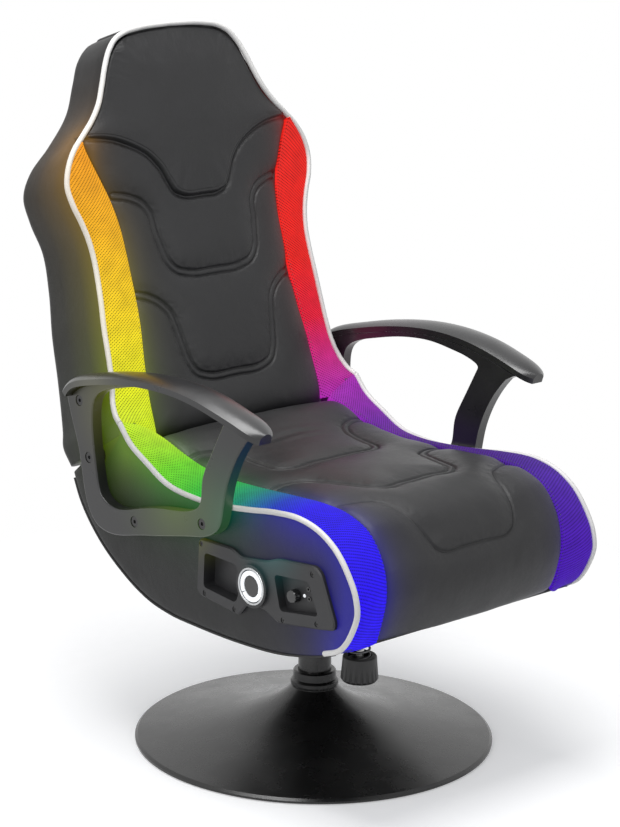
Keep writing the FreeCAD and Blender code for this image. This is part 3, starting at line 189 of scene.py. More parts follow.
def smooth_path(spots, count):
    """Evenly spaced points on a smooth curve through the given ones."""
    spots = np.array(spots, float)
    gaps = np.linalg.norm(np.diff(spots, axis=0), axis=1)
    knots = np.concatenate([[0], np.cumsum(gaps)])
    slopes = np.gradient(spots, knots, axis=0)
    place = np.linspace(0, knots[-1], 20 * len(spots) + 4 * count)
    span = np.clip(np.searchsorted(knots, place, side="right") - 1, 0, len(gaps) - 1)
    wide = gaps[span]
    u = ((place - knots[span]) / wide)[:, None]
    wide = wide[:, None]
    fine = (
        (2 * u ** 3 - 3 * u ** 2 + 1) * spots[span]
        + (u ** 3 - 2 * u ** 2 + u) * wide * slopes[span]
        + (3 * u ** 2 - 2 * u ** 3) * spots[span + 1]
        + (u ** 3 - u ** 2) * wide * slopes[span + 1]
    )
    along = np.concatenate([[0], np.cumsum(np.linalg.norm(np.diff(fine, axis=0), axis=1))])
    even = np.linspace(0, along[-1], count)
    return np.column_stack([np.interp(even, along, fine[:, k]) for k in range(fine.shape[1])])


def path_length(points):
    return np.concatenate([[0], np.cumsum(np.linalg.norm(np.diff(points, axis=0), axis=1))])


def curve_value(table, at):
    """Smooth value of a (place, value) table."""
    fine = smooth_path(table, 400)
    order = np.argsort(fine[:, 0])
    return np.interp(at, fine[order, 0], fine[order, 1])


def line_distance(points, line):
    """Distance from 2-D points to a smooth open line, which is also drawn mirrored in x."""
    dense = smooth_path(line, 160)
    flat = points.reshape(-1, 2).copy()
    flat[:, 0] = np.abs(flat[:, 0])
    best = np.full(len(flat), 1e9)
    for first, last in zip(dense, dense[1:]):
        run = last - first
        share = np.clip(((flat - first) @ run) / (run @ run), 0, 1)
        gap = np.linalg.norm(flat - first - share[:, None] * run, axis=1)
        best = np.minimum(best, gap)
    return best.reshape(points.shape[:-1])


def ramp(stops, at):
    places = [stop[0] for stop in stops]
    return np.stack([np.interp(at, places, [stop[1][k] for stop in stops]) for k in range(3)], axis=-1)


def soft_noise(points, size, seed):
    """Low lumps of unit height with a given size in millimetres."""
    flat = points.reshape(-1, 3) / size
    values = [noise.noise(Vector((x + seed, y, z))) for x, y, z in flat]
    return np.array(values).reshape(points.shape[:-1])


def fade(gap, reach, power=1):
    """1 at no gap, falling away over the reach."""
    return np.exp(-(gap / reach) ** power)


def unit(vectors):
    return vectors / np.maximum(np.linalg.norm(vectors, axis=-1, keepdims=True), 1e-9)


def grid_normals(grid):
    rows = np.gradient(grid, axis=0)
    columns = np.gradient(grid, axis=1)
    return unit(np.cross(rows, columns))


def grid_faces(rows, columns, start=0, flip=False):
    index = np.arange(rows * columns).reshape(rows, columns) + start
    corners = [index[:-1, :-1], index[:-1, 1:], index[1:, 1:], index[1:, :-1]]
    quads = np.stack(corners, axis=-1).reshape(-1, 4)
    return quads[:, ::-1] if flip else quads


def ring_faces(rows, columns):
    """Faces of a row of closed rings, with a cap on each end."""
    index = np.arange(rows * columns).reshape(rows, columns)
    beside = np.roll(index, -1, axis=1)
    quads = np.stack([index[:-1], beside[:-1], beside[1:], index[1:]], axis=-1).reshape(-1, 4).tolist()
    quads.append(index[0][::-1].tolist())
    quads.append(index[-1].tolist())
    return quads


def rim_of(rows, columns):
    index = np.arange(rows * columns).reshape(rows, columns)
    return np.concatenate([index[0, :-1], index[:-1, -1], index[-1, :0:-1], index[:0:-1, 0]])


def linked(name, data):
    made = bpy.data.objects.new(name, data)
    bpy.context.scene.collection.objects.link(made)
    return made


def make_object(name, points, faces, uv=None, glow=None):
    mesh = bpy.data.meshes.new(name)
    mesh.from_pydata((points * MM).tolist(), [], [list(map(int, face)) for face in faces])
    mesh.update()
    if uv is not None:
        layer = mesh.uv_layers.new(name="UVMap")
        loops = np.empty(len(mesh.loops), int)
        mesh.loops.foreach_get("vertex_index", loops)
        layer.data.foreach_set("uv", (uv[loops] * MM).ravel())
    if glow is not None:
        layer = mesh.color_attributes.new(name="Glow", type="FLOAT_COLOR", domain="POINT")
        layer.data.foreach_set("color", np.column_stack([glow, np.ones(len(glow))]).ravel())
    mesh.polygons.foreach_set("use_smooth", [True] * len(mesh.polygons))
    return linked(name, mesh)


def outward(obj):
    """Points all faces of a closed mesh outwards."""
    work = bmesh.new()
    work.from_mesh(obj.data)
    bmesh.ops.recalc_face_normals(work, faces=work.faces)
    work.to_mesh(obj.data)
    work.free()
    return obj


def pillow(name, front, back, uv, glow):
    """Closed form from a front grid and a back grid of the same size."""
    rows, columns, _ = front.shape
    count = rows * columns
    rim = rim_of(rows, columns)
    after = np.roll(rim, -1)
    sides = np.stack([rim, rim + count, after + count, after], axis=-1)
    faces = np.concatenate([grid_faces(rows, columns), grid_faces(rows, columns, count, True), sides])
    points = np.concatenate([front.reshape(-1, 3), back.reshape(-1, 3)])
    uvs = np.concatenate([uv.reshape(-1, 2)] * 2)
    glows = np.concatenate([glow.reshape(-1, 3)] * 2)
    return outward(make_object(name, points, faces, uvs, glows))


def tube(name, path, radius, sides=14):
    """Round bar along a smooth 3-D path."""
    forward = unit(np.gradient(path, axis=0))
    aside = np.zeros_like(path)
    guide = np.array([1.0, 0.2, 0.1])
    for row, direction in enumerate(forward):
        guide = guide - direction * (guide @ direction)
        guide = guide / np.linalg.norm(guide)
        aside[row] = guide
    above = np.cross(forward, aside)
    turn = np.linspace(0, 2 * math.pi, sides, endpoint=False)
    rings = path[:, None] + radius * (
        np.cos(turn)[None, :, None] * aside[:, None] + np.sin(turn)[None, :, None] * above[:, None]
    )
    uv = np.stack(np.meshgrid(path_length(path), turn * radius, indexing="ij"), axis=-1).reshape(-1, 2)
    return outward(make_object(name, rings.reshape(-1, 3), ring_faces(len(path), sides), uv))


# Places on the seat and the back

def side_normals(curve):
    """Outward unit normals of a (y, z) curve that runs from the crease to the front."""
    run = unit(np.gradient(curve, axis=0))
    return np.stack([run[:, 1], -run[:, 0]], axis=1)


def lift(curve_yz, x):
    return np.column_stack([np.full(len(curve_yz), x), curve_yz])


def back_place(x, s, depth):
    x, s, depth = np.broadcast_arrays(x, s, depth)
    return (
        CREASE + np.stack([x, x * 0, x * 0], axis=-1)
        + s[..., None] * BACK_UP + depth[..., None] * BACK_REARWARD
    )


# Light from the strips on what lies beside them

def strip_middle(side):
    """Middle line of one lit strip from the shoulder to the seat's front, and its colours."""
    s = np.linspace(420, 20, 60)
    half = (curve_value([(row[1], row[0]) for row in BACK_PIPING[:20]], s) + curve_value(BACK_SEAM, s)) / 2
    back = back_place(side * half, s, 8)
    seam = smooth_path(SEAM_CURVE, 90)[2:]
    seat = lift(seam, side * (SEAM_X + PIPING_X) / 2)
    spots = np.concatenate([back, seat])
    along = path_length(spots)
    return spots, ramp(RIGHT_GLOW if side < 0 else LEFT_GLOW, along / along[-1])


STRIPS = [strip_middle(side) for side in (-1, 1)]
STRIP_SPOTS = np.concatenate([spots for spots, _ in STRIPS])
STRIP_COLOURS = np.concatenate([colours for _, colours in STRIPS])


# Points that are worked on at a time
BATCH = 4000


def glow_at(points, start, reach, strength):
    """Colour that the strips throw on points, full up to a start distance and gone past the reach."""
    flat = points.reshape(-1, 3)
    made = np.zeros_like(flat)
    for first in range(0, len(flat), BATCH):
        part = flat[first:first + BATCH]
        gaps = np.linalg.norm(part[:, None] - STRIP_SPOTS[None], axis=2)
        nearest = gaps.argmin(axis=1)
        gap = gaps[np.arange(len(part)), nearest]
        share = fade(np.maximum(gap - start, 0), reach)
        made[first:first + BATCH] = STRIP_COLOURS[nearest] * SPILL_TINT * (strength * share)[:, None]
    return made.reshape(points.shape)


# Sewn relief

def sewn(points, double_lines, single_lines=()):
    """Height of quilted leather drawn in along its sewn lines."""
    height = np.zeros(points.shape[:-1])
    for line in double_lines:
        height -= 5.0 * fade(line_distance(points, line), 16, 2)
    for line in single_lines:
        height -= 4.5 * fade(line_distance(points, line), 17, 2)
    return height


def channels(points, double_lines, single_lines=()):
    """Narrow stitched channels: two beside each other, or one."""
    height = np.zeros(points.shape[:-1])
    for line in double_lines:
        gap = line_distance(points, line)
        height -= 3.0 * fade(gap - 4.8, 1.5, 2)
        height += 0.7 * fade(gap, 2.6, 2)
    for line in single_lines:
        height -= 3.2 * fade(line_distance(points, line), 1.8, 2)
    return height


def finer(grid):
    """The same smooth grid with twice as many steps each way."""
    for axis in (0, 1):
        grid = np.moveaxis(grid, axis, 0)
        ends = np.concatenate([2 * grid[:1] - grid[1:2], grid, 2 * grid[-1:] - grid[-2:-1]])
        middles = (9 * (ends[1:-2] + ends[2:-1]) - ends[:-3] - ends[3:]) / 16
        wider = np.empty((2 * len(grid) - 1,) + grid.shape[1:])
        wider[0::2] = grid
        wider[1::2] = middles
        grid = np.moveaxis(wider, 0, axis)
    return grid


def seam_hold(points, lines):
    """How firmly the sewn lines hold the leather down, 1 on a line and 0 between them."""
    return sum(fade(line_distance(points, line), 6.5, 4) for line in lines)


def creased(points, lines, surface):
    """Small gathers that run off the sewn lines."""
    height = np.zeros(points.shape[:-1])
    gathers = soft_noise(surface, 7, 3.1)
    for line in lines:
        gap = line_distance(points, line)
        height += 0.7 * gathers * fade(gap - 9, 6, 2)
    return height


def swell(name, front, back, held):
    """Front face of a closed cushion once it has swelled as cloth under pressure between its held seams.

    held is each front point's hold, 1 on a seam and 0 in the free leather; the rear face stays put.
    """
    blank = np.zeros(front.shape)
    obj = pillow(name, front, back, blank[..., :2], blank)
    mesh = obj.data
    count = len(mesh.vertices)
    rest = np.empty(count * 3)
    mesh.vertices.foreach_get("co", rest)
    rest = rest.reshape(-1, 3)
    hold = np.ones(count)
    hold[:held.size] = np.clip(held.ravel(), 0, 1)
    group = obj.vertex_groups.new(name="held")
    levels = np.round(hold * 20).astype(int)
    for level in range(1, 21):
        group.add(np.where(levels == level)[0].tolist(), level / 20, "REPLACE")
    cloth = obj.modifiers.new("cloth", "CLOTH")
    settings = cloth.settings
    settings.vertex_group_mass = "held"
    settings.quality = 4
    settings.mass = 0.25
    settings.tension_stiffness = 12
    settings.compression_stiffness = 12
    settings.shear_stiffness = 6
    settings.bending_stiffness = 2
    settings.use_pressure = True
    settings.uniform_pressure_force = PRESSURE
    settings.effector_weights.gravity = 0
    cloth.collision_settings.use_collision = False
    cloth.point_cache.frame_start = 1
    cloth.point_cache.frame_end = CLOTH_FRAMES
    for number in range(1, CLOTH_FRAMES + 1):
        bpy.context.scene.frame_set(number)
    shaped = obj.evaluated_get(bpy.context.evaluated_depsgraph_get()).data
    swollen = np.empty(count * 3)
    shaped.vertices.foreach_get("co", swollen)
    moved = swollen.reshape(-1, 3) - rest
    far = np.linalg.norm(moved, axis=1, keepdims=True)
    kept = moved * np.minimum(1, SWELL_LIMIT * MM / np.maximum(far, 1e-9))
    print("stuffed", obj.name, "moved up to", round(float(far.max()) / MM, 1), "mm")
    bpy.context.scene.frame_set(1)
    bpy.data.objects.remove(obj)
    bpy.data.meshes.remove(mesh)
    return ((rest + kept) / MM)[:held.size].reshape(front.shape)


def cushion(name, front, back, flat, held, relief, glow):
    """Swelled cushion with its stitched channels; glow is how the strips' light spills on it."""
    front = swell(name + "_swelling", front, back, held)
    front, back, flat = finer(front), finer(back), finer(flat)
    normals = grid_normals(front)
    if (normals * (front - back)).sum() < 0:
        normals = -normals
    front = front + normals * relief(flat)[..., None]
    return pillow(name, front, back, flat, glow_at(front, *glow))


def stitches(name, path, normal, pitch=6.5, length=4.2, radius=0.55):
    """Row of short thread loops along a path, as one mesh."""
    along = path_length(path)
    count = int(along[-1] / pitch)
    points = []
    faces = []
    turn = np.linspace(0, 2 * math.pi, 6, endpoint=False)
    for number in range(count):
        ends = (number + 0.5) * pitch + np.array([-0.5, -0.3, 0.0, 0.3, 0.5]) * length
        spine = np.column_stack([np.interp(ends, along, path[:, k]) for k in range(3)])
        above = unit(np.array([np.interp(ends[2], along, normal[:, k]) for k in range(3)]))
        spine = spine + above * radius * np.array([-1.2, 0.3, 0.7, 0.3, -1.2])[:, None]
        forward = unit(spine[-1] - spine[0])
        aside = unit(np.cross(forward, above))
        fat = radius * np.array([0.5, 0.95, 1, 0.95, 0.5])
        start = len(points)
        for spot, size in zip(spine, fat):
            points.extend(spot + size * (math.cos(a) * aside + math.sin(a) * above) for a in turn)
        for row in range(4):
            for k in range(6):
                after = (k + 1) % 6
                low = start + row * 6
                faces.append([low + k, low + after, low + 6 + after, low + 6 + k])
        faces.append([start + k for k in range(5, -1, -1)])
        faces.append([start + 24 + k for k in range(6)])
    return outward(make_object(name, np.array(points), faces, np.zeros((len(points), 2))))


# Seat

SEAT_ROWS = 181
SEAT_COLUMNS = 101


def seat_grid(rows, columns):
    curve = smooth_path(SEAM_CURVE, rows)
    normal = side_normals(curve)
    along = path_length(curve)
    x = np.linspace(-SEAM_X, SEAM_X, columns)
    flat = np.stack(np.meshgrid(along, x, indexing="ij"), axis=-1)[..., ::-1]
    place = np.empty((rows, columns, 3))
    place[..., 0] = x[None]
    place[..., 1:] = curve[:, None]
    up = np.zeros_like(place)
    up[..., 1:] = normal[:, None]
    return place, up, flat, along[-1]


def seat_cushion():
    place, up, flat, total = seat_grid(SEAT_ROWS, SEAT_COLUMNS)
    across = np.abs(flat[..., 0]) / SEAM_X
    along = flat[..., 1]
    rim_gap = SEAM_X - np.abs(flat[..., 0])
    crown = SEAT_CROWN * (1 - across ** 2.4)
    roll = -5 * fade(rim_gap, 4.5)
    tuck = -16 * fade(along, 9) - 7 * fade(total - along, 8)
    relief = sewn(flat, QUILT_SEAT, [TONGUE_SEAT])
    relief += creased(flat, QUILT_SEAT + [TONGUE_SEAT], place)
    lumps = 1.1 * soft_noise(place, 60, 0.4) + 0.4 * soft_noise(place, 22, 5.2)
    front = place + up * (crown + roll + tuck + relief + lumps + 2)[..., None]
    depth = 12 + (SEAT_THICK - 12) * (1 - across ** 6)
    back = place - up * depth[..., None]
    held = fade(rim_gap, 5, 2) + fade(along, 8) + fade(total - along, 8)
    held += seam_hold(flat, QUILT_SEAT + [TONGUE_SEAT])

    def stitched(spots):
        return channels(spots, QUILT_SEAT, [TONGUE_SEAT])

    return cushion("seat_cushion_cover", front, back, flat, held, stitched, SEAT_SPILL)


def strip_form(name, inner, outer, up, side, share):
    """Lit mesh strip between two edge curves; share is each row's place along the whole strip."""
    columns = 33
    u = np.linspace(0, 1, columns)[None, :, None]
    place = inner[:, None] * (1 - u) + outer[:, None] * u
    rise = STRIP_CROWN * (4 * u * (1 - u)) ** 0.6
    width = np.linalg.norm(outer - inner, axis=1)
    front = place + up[:, None] * rise
    back = place - up[:, None] * STRIP_THICK
    along = path_length((inner + outer) / 2)
    uv = np.stack([u[..., 0] * width[:, None], np.repeat(along[:, None], columns, axis=1)], axis=-1)
    colour = ramp(RIGHT_GLOW if side < 0 else LEFT_GLOW, share)
    return pillow(name, front, back, uv, np.repeat(colour[:, None], columns, axis=1))


def whole_length():
    return path_length(STRIPS[0][0])[-1]


def seat_strip(side):
    rows = 260
    seam = smooth_path(SEAM_CURVE, rows)
    piping = smooth_path(SEAT_PIPING, rows)
    normal = side_normals((seam + piping) / 2)
    up = np.column_stack([np.zeros(rows), normal])
    inner = lift(seam, side * (SEAM_X - 1)) - up * 2.5
    outer = lift(piping, side * (PIPING_X - 3)) - up * 0.5
    total = whole_length()
    back_part = total - path_length(seam)[-1]
    share = (back_part + path_length(seam)) / total
    return strip_form(f"seat_mesh_{SIDE_NAMES[side]}_knit", inner, outer, up, side, share)


def seam_stitches(side):
    """Thread where the mesh meets the leather of the seat."""
    seam = smooth_path(SEAM_CURVE, 400)[14:]
    normal = side_normals(seam)
    up = np.column_stack([np.zeros(len(seam)), normal])
    path = lift(seam, side * (SEAM_X + 2.5)) + up * 0.2
    return stitches(f"seat_stitches_{SIDE_NAMES[side]}", path, up, pitch=7.0, length=2.6, radius=0.42)


def back_stitches(side):
    """The same thread up the back."""
    s = np.linspace(20, 405, 260)
    path = back_place(side * (curve_value(BACK_SEAM, s) + 2.5), s, leather_depth(s, 0.0) + 1.6)
    normal = np.repeat(-BACK_REARWARD[None], len(s), axis=0)
    return stitches(f"back_stitches_{SIDE_NAMES[side]}", path, normal, pitch=7.5, length=3.2, radius=0.55)


def seat_piping(side):
    path = lift(smooth_path(SEAT_PIPING, 240), side * PIPING_X)
    return tube(f"seat_piping_{SIDE_NAMES[side]}_cord", path, PIPING_RADIUS)


def belly_welt(side):
    """Thin black cord sewn into the lower edge of a side board."""
    curve = smooth_path(BELLY, 240)[3:-3]
    path = lift(curve, side * (SIDE_FACE - 2.4))
    return tube(f"seat_side_{SIDE_NAMES[side]}_welt", path, WELT_RADIUS, sides=10)


def inside(points, corners):
    """Which of the 2-D points lie within a polygon."""
    y, z = points[..., 0], points[..., 1]
    found = np.zeros(y.shape, bool)
    for (y_one, z_one), (y_two, z_two) in zip(corners, corners[1:] + corners[:1]):
        crosses = (z_one > z) != (z_two > z)
        rise = z_two - z_one if z_two != z_one else 1e-9
        found ^= crosses & (y < (y_two - y_one) * (z - z_one) / rise + y_one)
    return found


def floor_wrap():
    """Board under the seat, wrapped in the same leather as the sides."""
    rows = 150
    columns = 45
    belly = smooth_path(BELLY, rows)
    run = unit(np.gradient(belly, axis=0))
    below = np.stack([run[:, 1], -run[:, 0]], axis=1)
    below = below * np.sign(-below[rows // 2, 1])
    x = np.linspace(-(SIDE_FACE - 11), SIDE_FACE - 11, columns)
    front = np.empty((rows, columns, 3))
    front[..., 0] = x[None]
    back = front.copy()
    front[..., 1:] = (belly + below * WRAP)[:, None]
    back[..., 1:] = (belly - below * FLOOR_THICK)[:, None]
    flat = np.stack(np.meshgrid(path_length(belly), x, indexing="ij"), axis=-1)
    return pillow("seat_floor_wrap", front, back, flat, np.zeros_like(front))


def seat_side(side):
    """Padded side board between the piping and the belly, puffed a little in its middle."""
    rows = 320
    columns = 91
    top = smooth_path(SEAT_PIPING[:-1], rows)
    bottom = smooth_path(BELLY, rows)[::-1]
    v = np.linspace(0, 1, columns)[None, :, None]
    flat = top[:, None] * (1 - v) + bottom[:, None] * v
    width = np.linalg.norm(top - bottom, axis=1)[:, None]
    from_top = v[..., 0] * width
    from_bottom = (1 - v[..., 0]) * width
    from_rear = np.repeat(path_length(top)[:, None], columns, axis=1)
    edge = np.minimum(np.minimum(from_top, from_bottom), from_rear + 2)
    place = np.concatenate([np.full(flat.shape[:-1] + (1,), 0.0), flat], axis=-1)
    puff = 3.2 * (1 - fade(edge, 22)) - 7 * fade(edge, 2.4)
    puff += 0.8 * soft_noise(place, 70, 8.0) * (1 - fade(edge, 10))
    if side < 0:
        puff = np.where(inside(flat, PANEL_OPENING), 1 - SIDE_THICK, puff)
    front = place.copy()
    front[..., 0] = side * (SIDE_FACE + puff)
    back = place.copy()
    back[..., 0] = side * (SIDE_FACE - SIDE_THICK)
    glow = glow_at(front, *SIDE_SPILL)
    uv = np.stack([from_rear, from_top], axis=-1)
    return pillow(f"seat_side_{SIDE_NAMES[side]}_padding", front, back, uv, glow)


# Back

BACK_ROWS = 141
BACK_COLUMNS = 101
LEATHER_DEPTH = [
    (-14, 8, 4), (8, 7, -2), (50, 8, -3), (110, 8, -4), (230, 8, -4), (285, 8, -4), (330, 7, -5),
    (366, 5, -7), (398, 2, -9), (418, -1, -10), (429, -3, -11), (472, -6, -13), (515, -8, -14),
    (548, -8, -14), (562, -7, -12), (580, -5, -9),
]


def back_outline(s):
    """Half width of the piping's path at s."""
    return curve_value([(row[1], row[0]) for row in BACK_PIPING], s)


def piping_depth(s):
    return curve_value([(row[1], row[2]) for row in BACK_PIPING], s)


def leather_depth(s, profile):
    edge = curve_value([(row[0], row[1]) for row in LEATHER_DEPTH], s)
    middle = curve_value([(row[0], row[2]) for row in LEATHER_DEPTH], s)
    return edge + (middle - edge) * profile


def mirror_line(line):
    """Height of a sewn line at any x, as a table for both halves."""
    fine = smooth_path(line, 200)
    return fine[np.argsort(fine[:, 0])]


def back_cushion():
    v = np.linspace(0, 1, BACK_ROWS)[:, None]
    u = np.linspace(-1, 1, BACK_COLUMNS)[None]
    head = mirror_line(HEAD_LINE)
    bottom = BACK_FOOT_S
    side_s = bottom * (1 - v) + HEAD_CORNER_S * v
    half = curve_value(BACK_SEAM, np.minimum(side_s, 422))
    x = u * half
    top = np.interp(np.abs(u) * HEAD_CORNER_X, head[:, 0], head[:, 1]) + 6
    s = bottom * (1 - v) + top * v
    flat = np.stack([x, s], axis=-1)
    profile = 1 - np.abs(u) ** 2.8
    depth = leather_depth(s, profile)
    depth = depth + 5 * fade(half - np.abs(x), 4.5) + 12 * fade(s - bottom, 10)
    head_gap = line_distance(flat, HEAD_LINE)
    depth = depth + 6 * fade(head_gap, 5, 1.5)
    place = back_place(x, s, depth)
    relief = sewn(flat, QUILT_BACK) + creased(flat, QUILT_BACK + [HEAD_LINE], place)
    relief += 1.2 * soft_noise(place, 60, 2.4) + 0.4 * soft_noise(place, 22, 7.2)
    front = place - relief[..., None] * BACK_REARWARD
    back = back_place(x, s, 14 + 24 * (1 - np.abs(u) ** 6))
    held = fade(half - np.abs(x), 5, 2) + fade(s - bottom, 8) + fade(head_gap, 9, 2)
    held += seam_hold(flat, QUILT_BACK)

    def stitched(spots):
        return channels(spots, QUILT_BACK)

    return cushion("back_cushion_cover", front, back, flat, held, stitched, BACK_SPILL)


def head_pad():
    v = np.linspace(0, 1, BACK_ROWS)[:, None]
    u = np.linspace(-1, 1, BACK_COLUMNS)[None]
    head = mirror_line(HEAD_LINE)
    side_s = HEAD_CORNER_S * (1 - v) + 569 * v
    half = back_outline(side_s) - 4
    x = u * half
    bottom = np.interp(np.abs(u) * HEAD_CORNER_X, head[:, 0], head[:, 1])
    top_table = np.array([(0, 573.5), (60, 571), (80, 568), (92, 564)])
    top = np.interp(np.abs(u) * 92, top_table[:, 0], top_table[:, 1])
    s = bottom * (1 - v) + top * v
    profile = 1 - np.abs(u) ** 2.6
    depth = leather_depth(s, profile)
    rim_gap = np.minimum(half - np.abs(x), top - s)
    depth = depth + 4 * fade(rim_gap, 4) + 3 * (1 - np.clip(rim_gap / 30, 0, 1)) ** 2
    flat = np.stack([x, s], axis=-1)
    head_gap = line_distance(flat, HEAD_LINE)
    depth = depth - 2.5 * fade(head_gap, 26, 2) + 11 * fade(head_gap, 2.8, 1.4)
    place = back_place(x, s, depth)
    relief = 0.9 * soft_noise(place, 70, 4.4) + 0.35 * soft_noise(place, 24, 9.2)
    front = place - relief[..., None] * BACK_REARWARD
    back = back_place(x, s, np.maximum(depth + 4, 16 + 10 * (1 - np.abs(u) ** 6)))
    held = fade(rim_gap, 5, 2) + fade(head_gap, 6, 2)

    def stitched(spots):
        return -0.7 * fade(line_distance(spots, HEAD_LINE) - 7, 1, 2)

    return cushion("head_pad_cover", front, back, flat, held, stitched, HEAD_SPILL)


def back_strip(side):
    rows = 190
    s = np.linspace(-2, 421, rows)
    inner_half = curve_value(BACK_SEAM, s)
    # Below the piping's lower end the strip keeps its full width
    piping_end = BACK_PIPING[0][1]
    outer_half = np.where(s > piping_end, back_outline(np.maximum(s, piping_end)), PIPING_X)
    inner_depth = leather_depth(s, 0.0) + 3
    outer_depth = np.where(s > piping_end, piping_depth(np.maximum(s, piping_end)), 1) + 1
    inner = back_place(side * (inner_half - 1), s, inner_depth)
    outer = back_place(side * (outer_half - 3), s, outer_depth)
    up = np.repeat(-BACK_REARWARD[None], rows, axis=0)
    share = np.clip((420 - s) / whole_length(), 0, 1)
    return strip_form(f"back_mesh_{SIDE_NAMES[side]}_knit", inner, outer, up, side, share)


def back_piping():
    half = smooth_path(BACK_PIPING, 260)
    whole = np.concatenate([half, (half * [-1, 1, 1])[::-1][1:]])
    path = back_place(whole[:, 0], whole[:, 1], whole[:, 2])
    return tube("back_piping_cord", path, PIPING_RADIUS)


def shell_ring(s_front, s_rear, half, front, rear):
    """Closed section of the shell: side, rounded rear corner, rear panel, and back along the inside."""
    corner = SHELL_CORNER
    # The shell is open towards the leather, and closes over it at its top
    opening = np.interp(s_front, [556, 566], [24, 3])
    turn = np.linspace(0, math.pi / 2, 9)
    side_x = [half - 5.5, half - 2, half, half + 0.8, half + 0.8]
    run = max(rear - corner - front, 10)
    side_d = [front + 3.0, front + 3.6, front + 7, front + 0.35 * run, front + 0.75 * run]
    corner_x = half - corner + corner * np.cos(turn)
    corner_d = rear - corner + corner * np.sin(turn)
    panel_x = np.linspace(half - corner, 0, 12)[1:]
    panel_d = rear + 3 * (1 - (panel_x / max(half - corner, 1)) ** 2)
    x = np.concatenate([side_x, corner_x, panel_x])
    depth = np.concatenate([side_d, corner_d, panel_d])
    x = np.concatenate([x, -x[::-1][1:]])
    depth = np.concatenate([depth, depth[::-1][1:]])
    inside_x = np.linspace(-(half - 12), half - 12, 12)
    x = np.concatenate([x, inside_x])
    depth = np.concatenate([depth, np.full(12, front + opening)])
    s = s_front + (s_rear - s_front) * np.clip((depth - front) / (rear - front), 0, 1)
    return np.stack([x, s, depth], axis=-1)


def back_shell():
    # (s at the front, s at the rear, half width, front depth, rear depth)
    table = np.array([
        (8, -26, 227.5, 0, 146), (24, 0, 227.5, 1, 156), (50, 24, 219.5, 18, 161),
        (113, 98, 208, 21.5, 164), (170, 164, 205, 21, 160), (230, 228, 201.5, 18.5, 151),
        (285, 285, 206, 15.5, 141), (330, 330, 221.5, 11.5, 135), (362, 366, 228.5, 9.5, 129),
        (398, 398, 217, 4.5, 117), (430, 430, 191, 0, 97), (472, 472, 155, -3.5, 88),
        (515, 515, 135, -4.5, 84), (546, 546, 119, -5.5, 83), (560, 560, 106, -6, 82),
        (567, 567, 96, -6.5, 81), (572, 572, 80, -7, 79),
    ])
    rings = [shell_ring(*row) for row in smooth_path(table, 150)]
    top = rings[-1]
    centre = np.array([0, 0, (top[:, 2].min() + top[:, 2].max()) / 2])
    for angle in np.linspace(0, math.pi / 2, 10)[1:]:
        shrink = 1 - 0.10 * (1 - math.cos(angle))
        ring = centre + (top - centre) * [shrink, 1, shrink]
        ring[:, 1] = top[:, 1] + 4 * math.sin(angle)
        rings.append(ring)
    grid = np.array(rings)
    points = back_place(grid[..., 0], grid[..., 1], grid[..., 2])
    rows, columns, _ = points.shape
    glow = glow_at(points, *SHELL_SPILL).reshape(-1, 3)
    uv = grid[..., :2].reshape(-1, 2)
    faces = ring_faces(rows, columns)
    return outward(make_object("back_shell_padding", points.reshape(-1, 3), faces, uv, glow))


# Materials

def add(tree, kind, **settings):
    made = tree.nodes.new(kind)
    for name, value in settings.items():
        setattr(made, name, value)
    return made


def put(node, **values):
    """Sets constant inputs by name, with _ for a space."""
    for name, value in values.items():
        node.inputs[name.replace("_", " ")].default_value = value


def wire(tree, source, target):
    tree.links.new(source, target)


def start_material(name):
    made = bpy.data.materials.new(name)
    made.use_nodes = True
    tree = made.node_tree
    return made, tree, tree.nodes["Principled BSDF"]


def place_of(tree):
    return add(tree, "ShaderNodeTexCoord").outputs["Object"]


def noise_of(tree, place, size, detail=3.0, roughness=0.55):
    """Noise value whose lumps have a size in metres."""
    made = add(tree, "ShaderNodeTexNoise")
    put(made, Scale=1 / size, Detail=detail, Roughness=roughness)
    wire(tree, place, made.inputs["Vector"])
    return made.outputs["Fac"]


def math_of(tree, first, second, mode="ADD"):
    """Result of one math node on two values, each a number or another node's output."""
    made = add(tree, "ShaderNodeMath", operation=mode)
    for socket, value in zip(made.inputs, (first, second)):
        if isinstance(value, (int, float)):
            socket.default_value = value
        else:
            wire(tree, value, socket)
    return made.outputs[0]


def span_of(tree, value, low, high, to_low, to_high):
    made = add(tree, "ShaderNodeMapRange")
    put(made, From_Min=low, From_Max=high, To_Min=to_low, To_Max=to_high)
    wire(tree, value, made.inputs["Value"])
    return made.outputs["Result"]


def tint_of(tree, factor, dark, light):
    """Colour between two tones; a tone given as one number is a grey."""
    made = add(tree, "ShaderNodeMix", data_type="RGBA")
    wire(tree, factor, made.inputs["Factor"])
    for socket, tone in (("A", dark), ("B", light)):
        made.inputs[socket].default_value = (*np.broadcast_to(tone, 3).tolist(), 1)
    return made.outputs["Result"]


def bump_of(tree, shader, height, distance, strength=1.0):
    made = add(tree, "ShaderNodeBump")
    put(made, Distance=distance, Strength=strength)
    wire(tree, height, made.inputs["Height"])
    wire(tree, made.outputs["Normal"], shader.inputs["Normal"])


def add_glow(tree, shader):
    """Light of the strips on a soft piece, from the mesh's own Glow colours."""
    glow = add(tree, "ShaderNodeVertexColor", layer_name="Glow")
    wire(tree, glow.outputs["Color"], shader.inputs["Emission Color"])
    put(shader, Emission_Strength=1.0)


